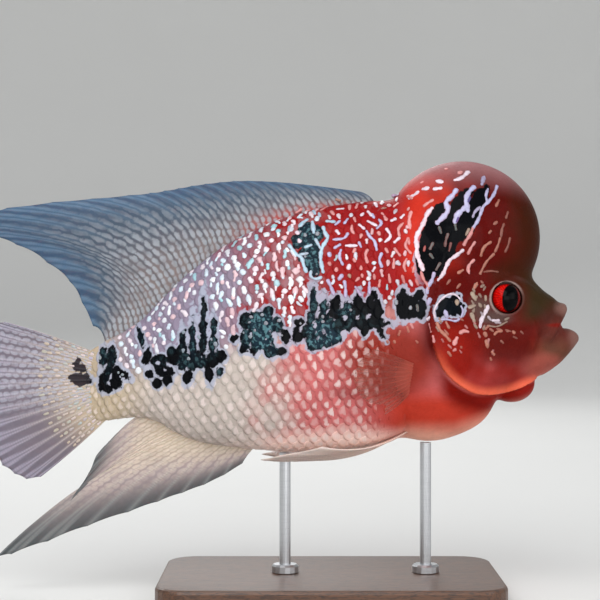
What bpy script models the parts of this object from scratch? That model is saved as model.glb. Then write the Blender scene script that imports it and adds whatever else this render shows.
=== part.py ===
"""A flowerhorn cichlid, life size, as a still museum model held over a flat base by two rods.

The fish swims towards +X with its nose a little up, and its tail swings a little towards +Y.
+Z is up, the origin is the middle of the base's underside, and MM turns the sizes into metres.
"""
import math

import bmesh
import bpy
import numpy as np

MM = 0.001
GAP = 0.33  # kept between pieces that touch
CUT_WIDTH = 0.3  # of the thin cuts that part the body

# The body as upright sections from the root of the tail fin to the mouth:
# place along X, height of the back, of the belly and of the widest line, and half width.
BODY_SECTIONS = (
    (-109.5, 109.0, 78.0, 93.0, 1.6),
    (-106.0, 111.0, 76.0, 93.5, 3.6),
    (-101.0, 114.0, 76.0, 94.0, 5.6),
    (-93.5, 117.5, 77.5, 96.0, 7.6),
    (-85.0, 122.5, 78.5, 98.5, 9.4),
    (-77.5, 130.0, 77.0, 101.0, 11.4),
    (-69.5, 138.5, 72.0, 103.5, 13.8),
    (-59.5, 147.0, 68.0, 106.5, 16.4),
    (-49.0, 155.0, 66.0, 109.0, 18.8),
    (-36.0, 162.0, 64.5, 111.5, 21.2),
    (-22.0, 168.0, 63.5, 114.0, 23.3),
    (-6.0, 172.5, 63.0, 115.5, 24.8),
    (9.0, 175.0, 64.5, 117.0, 25.8),
    (21.5, 176.0, 66.5, 117.5, 26.3),
    (29.0, 175.5, 69.0, 117.5, 26.5),
    (32.0, 175.0, 70.0, 117.5, 26.5),
    (35.5, 174.0, 69.0, 117.5, 26.5),
    (42.5, 171.5, 67.8, 117.0, 26.4),
    (50.0, 168.5, 68.5, 116.0, 26.0),
    (58.0, 164.5, 71.2, 115.0, 25.4),
    (64.0, 161.0, 74.0, 115.0, 24.7),
    (68.5, 158.0, 77.5, 115.0, 24.0),
    (71.0, 156.0, 81.0, 115.5, 23.5),
    (73.0, 155.0, 85.5, 116.0, 23.1),
    (76.5, 152.0, 89.5, 116.5, 22.2),
    (81.0, 148.5, 92.0, 117.0, 20.8),
    (86.5, 144.0, 95.0, 118.0, 18.6),
    (91.0, 139.5, 97.5, 118.5, 16.2),
    (95.0, 135.5, 99.5, 119.0, 13.8),
    (99.0, 133.0, 102.0, 119.0, 11.0),
    (101.5, 130.5, 105.0, 118.5, 8.2),
    (103.0, 127.5, 109.0, 118.0, 5.8),
)
RING_POINTS = 32  # round each section of the body
BACK_POWER_TAIL, BACK_POWER_HEAD = 1.8, 2.7  # 2 is an ellipse, and more is boxier
BACK_POWER_FROM, BACK_POWER_TO = 10.0, 50.0  # along X
BELLY_POWER = 2.3

# The tail's swing to the side grows with the square of the distance behind its start.
TAIL_SWING, TAIL_SWING_START, TAIL_SWING_LENGTH = 9.0, -20.0, 140.0

HUMP_CENTRE, HUMP_RADII = (58.6, 0.0, 158.8), (35.4, 23.8, 34.7)
THROAT_CENTRE, THROAT_RADII = (80.5, 0.0, 94.5), (10.9, 13.5, 9.2)

EYE_CENTRE_X, EYE_CENTRE_Z = 75.6, 131.9
EYE_RADIUS, EYE_DEPTH_RADIUS, EYE_SUNK = 6.9, 5.2, 2.4
ORBIT_RADIUS, ORBIT_THICKNESS = 6.9, 1.0
NOSTRIL_X, NOSTRIL_Z, NOSTRIL_RADIUS = 92.0, 134.0, 1.1

# A gill cover is a leaning oval plate. Its edge stands proud of the flank behind and below.
COVER_X, COVER_Z = 57.5, 111.0
COVER_LONG, COVER_SHORT, COVER_LEAN = 23.0, 14.8, math.radians(25.0)
COVER_SUNK, COVER_RAISED_FRONT, COVER_RAISED_BACK = 1.6, 0.7, 2.6
COVER_RINGS, COVER_SPOKES = 4, 26

# The lower jaw as upright sections: place along X, top, bottom and half width.
JAW_SECTIONS = (
    (90.0, 111.0, 97.0, 14.6),
    (94.0, 115.0, 97.3, 13.6),
    (98.0, 118.0, 99.6, 11.6),
    (102.5, 119.2, 103.2, 9.2),
    (106.0, 118.9, 106.8, 7.0),
    (109.0, 117.6, 110.4, 4.4),
    (111.0, 115.6, 113.0, 1.4),
)
JAW_RING_POINTS, JAW_POWER = 20, 2.2
# The upper lip runs from each corner of the mouth round the front: place, and its radius there.
LIP_PATH = (
    (95.0, 13.4, 114.0, 1.7),
    (98.8, 11.2, 120.5, 2.2),
    (102.0, 6.4, 126.0, 2.6),
    (103.0, 0.0, 127.6, 2.8),
)
LIP_STEPS = 5  # between two of its places
MOUTH_CENTRE, MOUTH_RADII = (102.5, 0.0, 121.8), (9.0, 7.2, 2.9)

# The cuts that part the head and the tail stalk from the trunk, seen from the side.
GILL_OPENING = (
    (24.0, 182.0),
    (43.0, 136.0),
    (44.5, 116.0),
    (50.0, 99.0),
    (60.0, 92.0),
    (73.2, 87.5),
    (75.0, 60.0),
)
TAIL_CUT = ((-88.0, 150.0), (-80.0, 60.0))

# A fin's web thins from root to rim, and each ray is a ridge raised in its surface.
WEB_ROOT, WEB_RIM = 0.34, 0.27  # half thicknesses
RAY_FOOT = 0.3  # width of a ray's flank, as a share of the way to the next ray
WEB_NOTCH = 0.035  # how far the web ends short of the rays' tips, as a share of their length

BASE_LENGTH, BASE_WIDTH, BASE_HEIGHT = 150.0, 92.0, 10.0
BASE_CORNER, BASE_EDGE = 14.0, 1.5
ROD_RADIUS, ROD_SIDES = 2.5, 16
COLLAR_RADIUS, COLLAR_HEIGHT, COLLAR_EDGE = 6.0, 3.5, 0.8
ROD_PLACES = {"stand_rod_front": 42.5, "stand_rod_rear": -20.0}


def clear_scene():
    """Removes what a new Blender file holds."""
    for found in list(bpy.data.objects):
        bpy.data.objects.remove(found)


def collection_named(name):
    """A collection linked to the scene."""
    made = bpy.data.collections.new(name)
    bpy.context.scene.collection.children.link(made)
    return made


def material_named(name, colour, roughness, metallic=0.0):
    """A Principled material."""
    made = bpy.data.materials.new(name)
    made.use_nodes = True
    shader = made.node_tree.nodes["Principled BSDF"]
    shader.inputs["Base Color"].default_value = (*colour, 1.0)
    shader.inputs["Roughness"].default_value = roughness
    shader.inputs["Metallic"].default_value = metallic
    return made


def swung(points):
    """The points, in millimetres, after the tail has swung to the side."""
    points = np.array(points, float)
    behind = np.clip(TAIL_SWING_START - points[..., 0], 0.0, None) / TAIL_SWING_LENGTH
    points[..., 1] += TAIL_SWING * behind**2
    return points


def object_from(name, points, faces, folder):
    """A mesh object from points in millimetres, with its faces turned outwards."""
    mesh = bpy.data.meshes.new(name)
    mesh.from_pydata((np.asarray(points) * MM).tolist(), [], [list(map(int, face)) for face in faces])
    shape = bmesh.new()
    shape.from_mesh(mesh)
    bmesh.ops.remove_doubles(shape, verts=shape.verts, dist=1e-6)
    bmesh.ops.recalc_face_normals(shape, faces=shape.faces)
    if shape.calc_volume(signed=True) < 0:
        bmesh.ops.reverse_faces(shape, faces=shape.faces)
    shape.to_mesh(mesh)
    shape.free()
    made = bpy.data.objects.new(name, mesh)
    folder.objects.link(made)
    return made


def grown(source, by, folder):
    """A copy of a closed mesh with its surface moved out along its normals."""
    mesh = source.data.copy()
    for vertex, normal in zip(mesh.vertices, [v.normal.copy() for v in source.data.vertices]):
        vertex.co += normal * by * MM
    made = bpy.data.objects.new(source.name + "_grown", mesh)
    folder.objects.link(made)
    made.matrix_world = source.matrix_world
    return made


def move_to(made, folder):
    """Leaves an object in one collection only."""
    for other in list(made.users_collection):
        other.objects.unlink(made)
    folder.objects.link(made)


def closed_surfaces(shape):
    """The sets of faces that hang together, the smallest in area first."""
    waiting, surfaces = set(shape.faces), []
    while waiting:
        surface, reached = set(), [waiting.pop()]
        while reached:
            face = reached.pop()
            surface.add(face)
            near = {other for edge in face.edges for other in edge.link_faces} & waiting
            waiting -= near
            reached.extend(near)
        surfaces.append(surface)
    return sorted(surfaces, key=lambda faces: sum(face.calc_area() for face in faces))


def keep_largest(mesh):
    """Leaves a mesh only its largest closed surface."""
    shape = bmesh.new()
    shape.from_mesh(mesh)
    for surface in closed_surfaces(shape)[:-1]:
        bmesh.ops.delete(shape, geom=list(surface), context="FACES")
    bmesh.ops.delete(shape, geom=[v for v in shape.verts if not v.link_faces], context="VERTS")
    shape.to_mesh(mesh)
    shape.free()


def combine(target, others, operation, largest=True):
    """Cuts the other closed meshes from the target, or joins them to it, in one applied Boolean."""
    group = bpy.data.collections.new("operands")
    for other in others:
        group.objects.link(other)
    modifier = target.modifiers.new("combine", "BOOLEAN")
    modifier.operation = operation
    modifier.operand_type = "COLLECTION"
    modifier.collection = group
    modifier.solver = "MANIFOLD"  # EXACT loses the trunk where the gill covers cut it
    graph = bpy.context.evaluated_depsgraph_get()
    mesh = bpy.data.meshes.new_from_object(target.evaluated_get(graph))
    target.modifiers.clear()
    target.data = mesh
    if largest:
        keep_largest(mesh)
    bpy.data.collections.remove(group)


def remove(*objects):
    """Deletes helper objects."""
    for each in objects:
        bpy.data.objects.remove(each)


def between(sections, place):
    """The section's other values at a place along X, on a smooth curve through the sections."""
    table = np.array(sections, float)
    along, values = table[:, 0], table[:, 1:]
    index = int(np.clip(np.searchsorted(along, place) - 1, 0, len(along) - 2))
    slopes = np.gradient(values, along, axis=0)
    span = along[index + 1] - along[index]
    t = min(max((place - along[index]) / span, 0.0), 1.0)
    ease, start = 3 * t**2 - 2 * t**3, t**3 - 2 * t**2 + t
    end = t**3 - t**2
    return (
        values[index] * (1 - ease)
        + values[index + 1] * ease
        + (slopes[index] * start + slopes[index + 1] * end) * span
    )


def back_power(place):
    """How boxy the upper half of the body's section is."""
    share = min(max((place - BACK_POWER_FROM) / (BACK_POWER_TO - BACK_POWER_FROM), 0.0), 1.0)
    return BACK_POWER_TAIL + (BACK_POWER_HEAD - BACK_POWER_TAIL) * share


def flank(x, z):
    """The body's half width at a place seen from the side."""
    top, bottom, widest, half_width = between(BODY_SECTIONS, x)
    upper = z > widest
    power = back_power(x) if upper else BELLY_POWER
    height = (z - widest) / (top - widest) if upper else (widest - z) / (widest - bottom)
    return half_width * max(1 - abs(height) ** power, 0.0) ** (1 / power)


def ring(top, bottom, widest, half_width, upper_power, lower_power, count):
    """One upright section's points, as (y, z), starting on the back."""
    points = []
    for step in range(count):
        angle = 2 * math.pi * step / count
        across, up = math.sin(angle), math.cos(angle)
        power = upper_power if up > 0 else lower_power
        reach = (top - widest) if up > 0 else (widest - bottom)
        y = math.copysign(abs(across) ** (2 / power), across) * half_width
        z = widest + math.copysign(abs(up) ** (2 / power), up) * reach
        points.append((y, z))
    return points


def loft(rings):
    """(points, faces) of the skin over rings of equal count, closed by a fan at each end."""
    count = len(rings[0])
    points = [point for each in rings for point in each]
    faces = []
    for row in range(len(rings) - 1):
        for step in range(count):
            a, b = row * count + step, row * count + (step + 1) % count
            faces.append((a, b, b + count, a + count))
    for row in (0, len(rings) - 1):
        middle = len(points)
        points.append(tuple(np.mean(rings[row], axis=0)))
        faces += [(row * count + step, row * count + (step + 1) % count, middle) for step in range(count)]
    return np.array(points), faces


def make_body(folder):
    """The trunk, head and tail stalk as one solid, with rows added between the wider sections."""
    places = []
    for start, end in zip(BODY_SECTIONS, BODY_SECTIONS[1:]):
        rows = 2 if end[0] - start[0] > 9.0 else 1
        places += [start[0] + (end[0] - start[0]) * row / rows for row in range(rows)]
    places.append(BODY_SECTIONS[-1][0])
    rings = []
    for place in places:
        top, bottom, widest, half_width = between(BODY_SECTIONS, place)
        outline = ring(top, bottom, widest, half_width, back_power(place), BELLY_POWER, RING_POINTS)
        rings.append([(place, y, z) for y, z in outline])
    points, faces = loft(rings)
    return object_from("body", swung(points), faces, folder)


def make_ellipsoid(name, centre, radii, folder, segments=28, rows=18, axis="Z"):
    """A closed ellipsoid with its poles on the given axis."""
    shape = bmesh.new()
    bmesh.ops.create_uvsphere(shape, u_segments=segments, v_segments=rows, radius=1.0)
    mesh = bpy.data.meshes.new(name)
    for vertex in shape.verts:
        x, y, z = vertex.co
        if axis == "Y":
            x, y, z = x, z, -y
        vertex.co = [(c + r * unit) * MM for c, r, unit in zip(centre, radii, (x, y, z))]
    shape.to_mesh(mesh)
    shape.free()
    made = bpy.data.objects.new(name, mesh)
    folder.objects.link(made)
    return made


def side_name(side):
    """The fish's own side. It looks along +X, so its left is +Y."""
    return "left" if side > 0 else "right"


def eye_centre(side):
    """The middle of an eyeball, sunk in the flank."""
    out = flank(EYE_CENTRE_X, EYE_CENTRE_Z) - EYE_SUNK
    return (EYE_CENTRE_X, side * out, EYE_CENTRE_Z)


def make_eye(side, folder, extra=0.0):
    """A flattened eyeball."""
    radii = (EYE_RADIUS + extra, EYE_DEPTH_RADIUS + extra, EYE_RADIUS + extra)
    return make_ellipsoid("eye_" + side_name(side), eye_centre(side), radii, folder, 18, 12, "Y")


def make_orbit(side, folder):
    """The raised ring of skin round an eye, a torus draped over the flank, which joins the head."""
    bpy.ops.mesh.primitive_torus_add(
        major_radius=ORBIT_RADIUS * MM,
        minor_radius=ORBIT_THICKNESS * MM,
        major_segments=24,
        minor_segments=6,
        rotation=(math.pi / 2, 0.0, 0.0),
    )
    made = bpy.context.active_object
    made.name = "orbit_" + side_name(side)
    bpy.context.view_layer.update()
    turn = made.matrix_world.copy()
    for vertex in made.data.vertices:
        x, y, z = (turn @ vertex.co) / MM
        x, z = x + EYE_CENTRE_X, z + EYE_CENTRE_Z
        vertex.co = (x * MM, (y + side * (flank(x, z) - 0.25 * ORBIT_THICKNESS)) * MM, z * MM)
    made.rotation_euler = (0.0, 0.0, 0.0)
    move_to(made, folder)
    return made


def make_gill_cover(side, folder):
    """The plate over the gills: its inner face lies in the head, and its hind edge stands proud."""
    rings_out, rings_in = [], []
    for row in range(COVER_RINGS + 1):
        share = row / COVER_RINGS
        outer, inner = [], []
        for spoke in range(COVER_SPOKES):
            angle = 2 * math.pi * spoke / COVER_SPOKES
            long, short = COVER_LONG * share * math.cos(angle), COVER_SHORT * share * math.sin(angle)
            x = COVER_X - long * math.sin(COVER_LEAN) - short * math.cos(COVER_LEAN)
            z = COVER_Z + long * math.cos(COVER_LEAN) - short * math.sin(COVER_LEAN)
            behind = 0.5 + 0.5 * math.sin(angle + 0.6) * share
            lift = COVER_RAISED_FRONT + (COVER_RAISED_BACK - COVER_RAISED_FRONT) * behind
            rim = math.sqrt(max(1 - share**6, 0.0))
            skin = flank(x, z)
            outer.append((x, side * (skin + lift * (0.45 + 0.55 * rim)), z))
            inner.append((x, side * (skin - COVER_SUNK * (0.4 + 0.6 * rim)), z))
        rings_out.append(outer)
        rings_in.append(inner)
    rings = rings_in[1:] + rings_out[1:][::-1]
    count = COVER_SPOKES
    points = [point for each in rings for point in each]
    faces = []
    for row in range(len(rings) - 1):
        for step in range(count):
            a, b = row * count + step, row * count + (step + 1) % count
            faces.append((a, b, b + count, a + count))
    for row, middle_point in ((0, rings_in[0][0]), (len(rings) - 1, rings_out[0][0])):
        middle = len(points)
        points.append(middle_point)
        faces += [(row * count + step, row * count + (step + 1) % count, middle) for step in range(count)]
    return object_from("gill_cover_" + side_name(side), points, faces, folder)


def make_jaw(folder):
    """The lower jaw with its thick lip."""
    rings = []
    for x, top, bottom, half_width in JAW_SECTIONS:
        widest = bottom + 0.52 * (top - bottom)
        outline = ring(top, bottom, widest, half_width, JAW_POWER, JAW_POWER, JAW_RING_POINTS)
        rings.append([(x, y, z) for y, z in outline])
    points, faces = loft(rings)
    return object_from("lower_jaw", points, faces, folder)


def curve_points(controls, steps):
    """Points of a smooth curve through the controls, each with its own values."""
    controls = np.array(controls, float)
    slopes = np.gradient(controls, axis=0)
    made = []
    for index in range(len(controls) - 1):
        for step in range(steps):
            t = step / steps
            ease = 3 * t**2 - 2 * t**3
            made.append(
                controls[index] * (1 - ease)
                + controls[index + 1] * ease
                + slopes[index] * (t**3 - 2 * t**2 + t)
                + slopes[index + 1] * (t**3 - t**2)
            )
    made.append(controls[-1])
    return np.array(made)


def mesh_of(source, name, folder):
    """The mesh that an object's modifiers or bevel make of it, in an object of its own."""
    bpy.context.view_layer.update()
    graph = bpy.context.evaluated_depsgraph_get()
    mesh = bpy.data.meshes.new_from_object(source.evaluated_get(graph))
    shape = bmesh.new()
    shape.from_mesh(mesh)
    bmesh.ops.remove_doubles(shape, verts=shape.verts, dist=1e-6)
    bmesh.ops.recalc_face_normals(shape, faces=shape.faces)
    shape.to_mesh(mesh)
    shape.free()
    made = bpy.data.objects.new(name, mesh)
    made.matrix_world = source.matrix_world
    folder.objects.link(made)
    bpy.data.objects.remove(source)
    return made


def make_lip(folder):
    """The upper lip, a tapered tube bent round the front of the mouth."""
    half = [tuple(point) for point in LIP_PATH]
    whole = half + [(x, -y, z, radius) for x, y, z, radius in reversed(half[:-1])]
    path = curve_points(whole, LIP_STEPS)
    line = bpy.data.curves.new("upper_lip_line", "CURVE")
    line.dimensions = "3D"
    line.bevel_depth = MM
    line.bevel_resolution = 3
    line.use_fill_caps = True
    spline = line.splines.new("POLY")
    spline.points.add(len(path) - 1)
    for point, (x, y, z, radius) in zip(spline.points, path):
        point.co = (x * MM, y * MM, z * MM, 1.0)
        point.radius = radius
    tube = bpy.data.objects.new("upper_lip_line", line)
    folder.objects.link(tube)
    return mesh_of(tube, "upper_lip", folder)


def make_ribbon(name, line, folder):
    """A thin upright wall along a line seen from the side, which parts what it crosses."""
    line = np.array(line, float)
    ahead = np.gradient(line, axis=0)
    ahead /= np.linalg.norm(ahead, axis=1)[:, None]
    sideways = np.stack([-ahead[:, 1], ahead[:, 0]], axis=1) * CUT_WIDTH / 2
    reach = 60.0
    rings = []
    for point, offset in zip(line, sideways):
        a, b = point + offset, point - offset
        rings.append([(a[0], -reach, a[1]), (a[0], reach, a[1]), (b[0], reach, b[1]), (b[0], -reach, b[1])])
    points, faces = loft(rings)
    return object_from(name, points, faces, folder)


def split_surfaces(source, names, folder):
    """Gives each closed surface of a mesh its own object. The names run from the tail forwards."""
    shape = bmesh.new()
    shape.from_mesh(source.data)
    surfaces = closed_surfaces(shape)[-len(names) :]
    surfaces.sort(key=lambda faces: min(v.co.x for face in faces for v in face.verts))
    made = []
    for name, surface in zip(names, surfaces):
        faces = sorted(surface, key=lambda face: face.index)
        order = {}
        for vertex in (v for face in faces for v in face.verts):
            order.setdefault(vertex, len(order))
        mesh = bpy.data.meshes.new(name)
        mesh.from_pydata([v.co[:] for v in order], [], [[order[v] for v in face.verts] for face in faces])
        part = bpy.data.objects.new(name, mesh)
        folder.objects.link(part)
        made.append(part)
    shape.free()
    return made


def spread(places, count):
    """Points spaced evenly along a smooth curve through the places."""
    fine = curve_points(places, 24)
    length = np.concatenate([[0.0], np.cumsum(np.linalg.norm(np.diff(fine, axis=0), axis=1))])
    wanted = np.linspace(0.0, length[-1], count)
    return np.stack([np.interp(wanted, length, fine[:, k]) for k in range(fine.shape[1])], axis=1)


def make_fin(name, roots, bends, tips, rows, ray_root, ray_tip, folder):
    """A fin: a web spanned by curves from roots to tips, which lean to the bends, with a ridge on each."""
    roots, bends, tips = (np.array(each, float) for each in (roots, bends, tips))
    columns = []
    for ray in range(len(roots)):
        columns.append((float(ray), True))
        if ray < len(roots) - 1:
            columns += [(ray + RAY_FOOT, False), (ray + 1 - RAY_FOOT, False)]
    number = np.arange(len(roots))
    points, thickness = [], []
    for place, is_ray in columns:
        root, bend, tip = (
            np.array([np.interp(place, number, each[:, axis]) for axis in range(3)])
            for each in (roots, bends, tips)
        )
        share = np.linspace(0.0, 1.0 if is_ray else 1.0 - WEB_NOTCH, rows + 1)
        t = share[:, None]
        points.append((1 - t) ** 2 * root + 2 * t * (1 - t) * bend + t**2 * tip)
        start, stop = (ray_root, ray_tip) if is_ray else (WEB_ROOT, WEB_RIM)
        thickness.append(2 * (start + (stop - start) * share))
    points, thickness = swung(np.array(points)), np.array(thickness)
    high = rows + 1
    faces = []
    for i in range(len(columns) - 1):
        for j in range(rows):
            a, b = i * high + j, (i + 1) * high + j
            faces += [(a, b, b + 1), (a, b + 1, a + 1)]
    mesh = bpy.data.meshes.new(name)
    mesh.from_pydata((points.reshape(-1, 3) * MM).tolist(), [], faces)
    sheet = bpy.data.objects.new(name + "_sheet", mesh)
    folder.objects.link(sheet)
    group = sheet.vertex_groups.new(name="thickness")
    most = float(thickness.max())
    for index, value in enumerate(thickness.reshape(-1)):
        group.add([index], float(value) / most, "REPLACE")
    solidify = sheet.modifiers.new("thickness", "SOLIDIFY")
    solidify.thickness = most * MM
    solidify.offset = 0.0
    solidify.vertex_group = group.name
    return mesh_of(sheet, name, folder)


def make_dorsal_fin(folder):
    """Sixteen spines and twelve soft rays, the last ones drawn out in a long point behind."""
    count = 28
    base = (
        (21.0, 172.0),
        (0.0, 170.5),
        (-22.0, 164.0),
        (-49.0, 151.0),
        (-69.0, 134.0),
        (-85.0, 118.5),
        (-100.0, 109.5),
    )
    edge_front = (
        (13.0, 179.5),
        (-6.0, 182.0),
        (-28.0, 184.0),
        (-45.0, 184.0),
        (-62.0, 182.0),
        (-80.0, 179.0),
    )
    edge_hind = (
        (-90.0, 178.0),
        (-106.0, 176.5),
        (-124.0, 175.0),
        (-144.0, 172.5),
        (-160.0, 169.5),
        (-174.0, 166.0),
        (-158.0, 161.5),
        (-140.0, 156.0),
        (-127.0, 148.0),
        (-117.0, 139.5),
        (-111.0, 130.0),
        (-106.0, 119.5),
    )
    roots = spread(base, count)
    spines = spread(edge_front, count - len(edge_hind))
    tips = np.concatenate([spines, np.array(edge_hind)])
    bends = []
    for ray, (root, tip) in enumerate(zip(roots, tips)):
        soft = max(ray - 14, 0) / (count - 15)
        straight = 0.5 * (root + tip)
        swept = np.array((0.75 * root[0] + 0.25 * tip[0], root[1] + 0.85 * (tip[1] - root[1])))
        bends.append(straight + (swept - straight) * (0.35 + 0.5 * math.sin(math.pi * soft)))
    wave = [2.6 * math.sin(0.55 * ray) * (ray / count) for ray in range(count)]
    flat = [(x, 0.0, z) for x, z in roots]
    leaned = [(x, 0.35 * w, z) for (x, z), w in zip(bends, wave)]
    ends = [(x, w, z) for (x, z), w in zip(tips, wave)]
    return make_fin("dorsal_fin", flat, leaned, ends, 5, 0.8, 0.3, folder)


def make_tail_fin(folder):
    """Sixteen rays in a rounded fan."""
    count = 16
    base = ((-104.0, 107.5), (-105.5, 101.0), (-105.5, 93.5), (-103.5, 85.0), (-99.0, 78.5))
    edge = (
        (-146.0, 121.5),
        (-154.5, 120.0),
        (-159.5, 113.0),
        (-161.0, 101.0),
        (-159.5, 86.0),
        (-155.0, 70.5),
        (-148.0, 58.0),
        (-139.0, 51.0),
        (-130.0, 51.5),
    )
    roots, tips = spread(base, count), spread(edge, count)
    bends = 0.5 * (roots + tips)
    bow = np.linspace(1.0, -1.0, count)
    wave = 2.2 * np.sin(np.linspace(0.0, 2.6 * math.pi, count))
    flat = [(x, 0.0, z) for x, z in roots]
    leaned = [(x, 0.2 * w, z + 1.5 * b) for (x, z), b, w in zip(bends, bow, wave)]
    ends = [(x, w, z) for (x, z), w in zip(tips, wave)]
    return make_fin("tail_fin", flat, leaned, ends, 5, 0.9, 0.32, folder)


def make_anal_fin(folder):
    """Seven spines and eight soft rays, drawn out in a long point behind and below."""
    base = ((-31.5, 67.5), (-45.0, 69.5), (-58.0, 72.5), (-70.0, 77.0), (-81.0, 82.5))
    edge = (
        (-39.0, 58.5),
        (-47.0, 53.5),
        (-56.0, 49.0),
        (-66.0, 45.0),
        (-77.0, 41.0),
        (-90.0, 36.5),
        (-108.0, 30.5),
        (-126.0, 23.5),
        (-143.0, 17.0),
        (-151.0, 14.5),
        (-138.0, 21.0),
        (-124.0, 31.5),
        (-114.0, 44.5),
        (-108.0, 53.5),
        (-104.0, 62.0),
        (-96.5, 70.0),
    )
    tips = np.array(edge)
    roots = spread(base, len(edge))
    bends = []
    for root, tip in zip(roots, tips):
        straight = 0.5 * (root + tip)
        bends.append(straight + 0.1 * np.array((tip[1] - root[1], root[0] - tip[0])))
    wave = [2.0 * math.sin(0.8 * ray) * (ray / len(edge)) for ray in range(len(edge))]
    flat = [(x, 0.0, z) for x, z in roots]
    leaned = [(x, 0.3 * w, z) for (x, z), w in zip(bends, wave)]
    ends = [(x, w, z) for (x, z), w in zip(tips, wave)]
    return make_fin("anal_fin", flat, leaned, ends, 5, 0.8, 0.3, folder)


def make_pectoral_fin(side, folder):
    """A clear fan of twelve rays held out from the flank, just behind the gill cover."""
    count = 12
    back, out = math.cos(math.radians(52.0)), math.sin(math.radians(52.0))
    roots, bends, tips = [], [], []
    for ray in range(count):
        share = ray / (count - 1)
        x, z = 34.6 - 2.6 * share, 103.5 - 12.5 * share
        root = np.array((x + 1.5, flank(x, z) - 3.0, z))
        length = 22.0 + 24.0 * math.sin(math.pi * min(share * 1.1 + 0.14, 1.0)) ** 0.8
        rise = 0.24 - 0.70 * share
        way = np.array((-back, out, rise))
        tip = root + way / np.linalg.norm(way) * length
        roots.append(root)
        tips.append(tip)
        bends.append(0.5 * (root + tip) + np.array((1.6, 1.8, 0.6 * (0.5 - share))))
    mirror = np.array((1.0, side, 1.0))
    name = "pectoral_fin_" + side_name(side)
    return make_fin(name, *(np.array(each) * mirror for each in (roots, bends, tips)), 4, 0.6, 0.28, folder)


def make_pelvic_fin(side, folder):
    """A spine and five soft rays laid back under the belly."""
    tips = (
        (-4.0, 18.0, 67.6),
        (-22.0, 15.5, 63.6),
        (-30.0, 12.5, 61.4),
        (-24.0, 9.8, 60.4),
        (-14.0, 7.4, 60.0),
        (-3.0, 5.8, 60.4),
    )
    roots, bends = [], []
    for ray, tip in enumerate(tips):
        share = ray / (len(tips) - 1)
        y = 10.5 - 5.0 * share
        roots.append((34.0 - 1.0 * share, y, 73.8))
        bends.append((17.0 - 2.0 * share, 0.45 * y + 0.55 * tip[1] + 1.0, 60.6 + 2.2 * (1 - share)))
    mirror = np.array((1.0, side, 1.0))
    name = "pelvic_fin_" + side_name(side)
    return make_fin(name, *(np.array(each) * mirror for each in (roots, bends, tips)), 5, 0.7, 0.3, folder)


def make_base(folder):
    """A flat base with rounded corners and eased edges."""
    shape = bmesh.new()
    bmesh.ops.create_cube(shape, size=1.0)
    for vertex in shape.verts:
        x, y, z = vertex.co
        vertex.co = (x * BASE_LENGTH * MM, y * BASE_WIDTH * MM, (z + 0.5) * BASE_HEIGHT * MM)
    upright = [e for e in shape.edges if abs(e.verts[0].co.z - e.verts[1].co.z) > BASE_HEIGHT / 2 * MM]
    bmesh.ops.bevel(shape, geom=upright, offset=BASE_CORNER * MM, segments=6, affect="EDGES", profile=0.5)
    top = [e for e in shape.edges if all(v.co.z > BASE_HEIGHT * 0.99 * MM for v in e.verts)]
    bmesh.ops.bevel(shape, geom=top, offset=BASE_EDGE * MM, segments=2, affect="EDGES", profile=0.5)
    mesh = bpy.data.meshes.new("stand_base")
    shape.to_mesh(mesh)
    shape.free()
    made = bpy.data.objects.new("stand_base", mesh)
    folder.objects.link(made)
    return made


def make_rod(name, x, folder):
    """A turned rod that stands on a collar on the base and reaches the belly."""
    foot = BASE_HEIGHT + GAP
    shoulder = foot + COLLAR_HEIGHT
    top = between(BODY_SECTIONS, x)[1] + 4.0
    profile = (
        (0.0, top),
        (ROD_RADIUS, top),
        (ROD_RADIUS, shoulder),
        (COLLAR_RADIUS - COLLAR_EDGE, shoulder),
        (COLLAR_RADIUS, shoulder - COLLAR_EDGE),
        (COLLAR_RADIUS, foot),
        (0.0, foot),
    )
    mesh = bpy.data.meshes.new(name)
    edges = [(index, index + 1) for index in range(len(profile) - 1)]
    mesh.from_pydata([(out * MM, 0.0, up * MM) for out, up in profile], edges, [])
    turned = bpy.data.objects.new(name + "_profile", mesh)
    turned.location = (x * MM, 0.0, 0.0)
    folder.objects.link(turned)
    screw = turned.modifiers.new("turn", "SCREW")
    screw.steps = screw.render_steps = ROD_SIDES
    screw.use_merge_vertices = True
    screw.merge_threshold = 1e-5
    return mesh_of(turned, name, folder)


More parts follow.
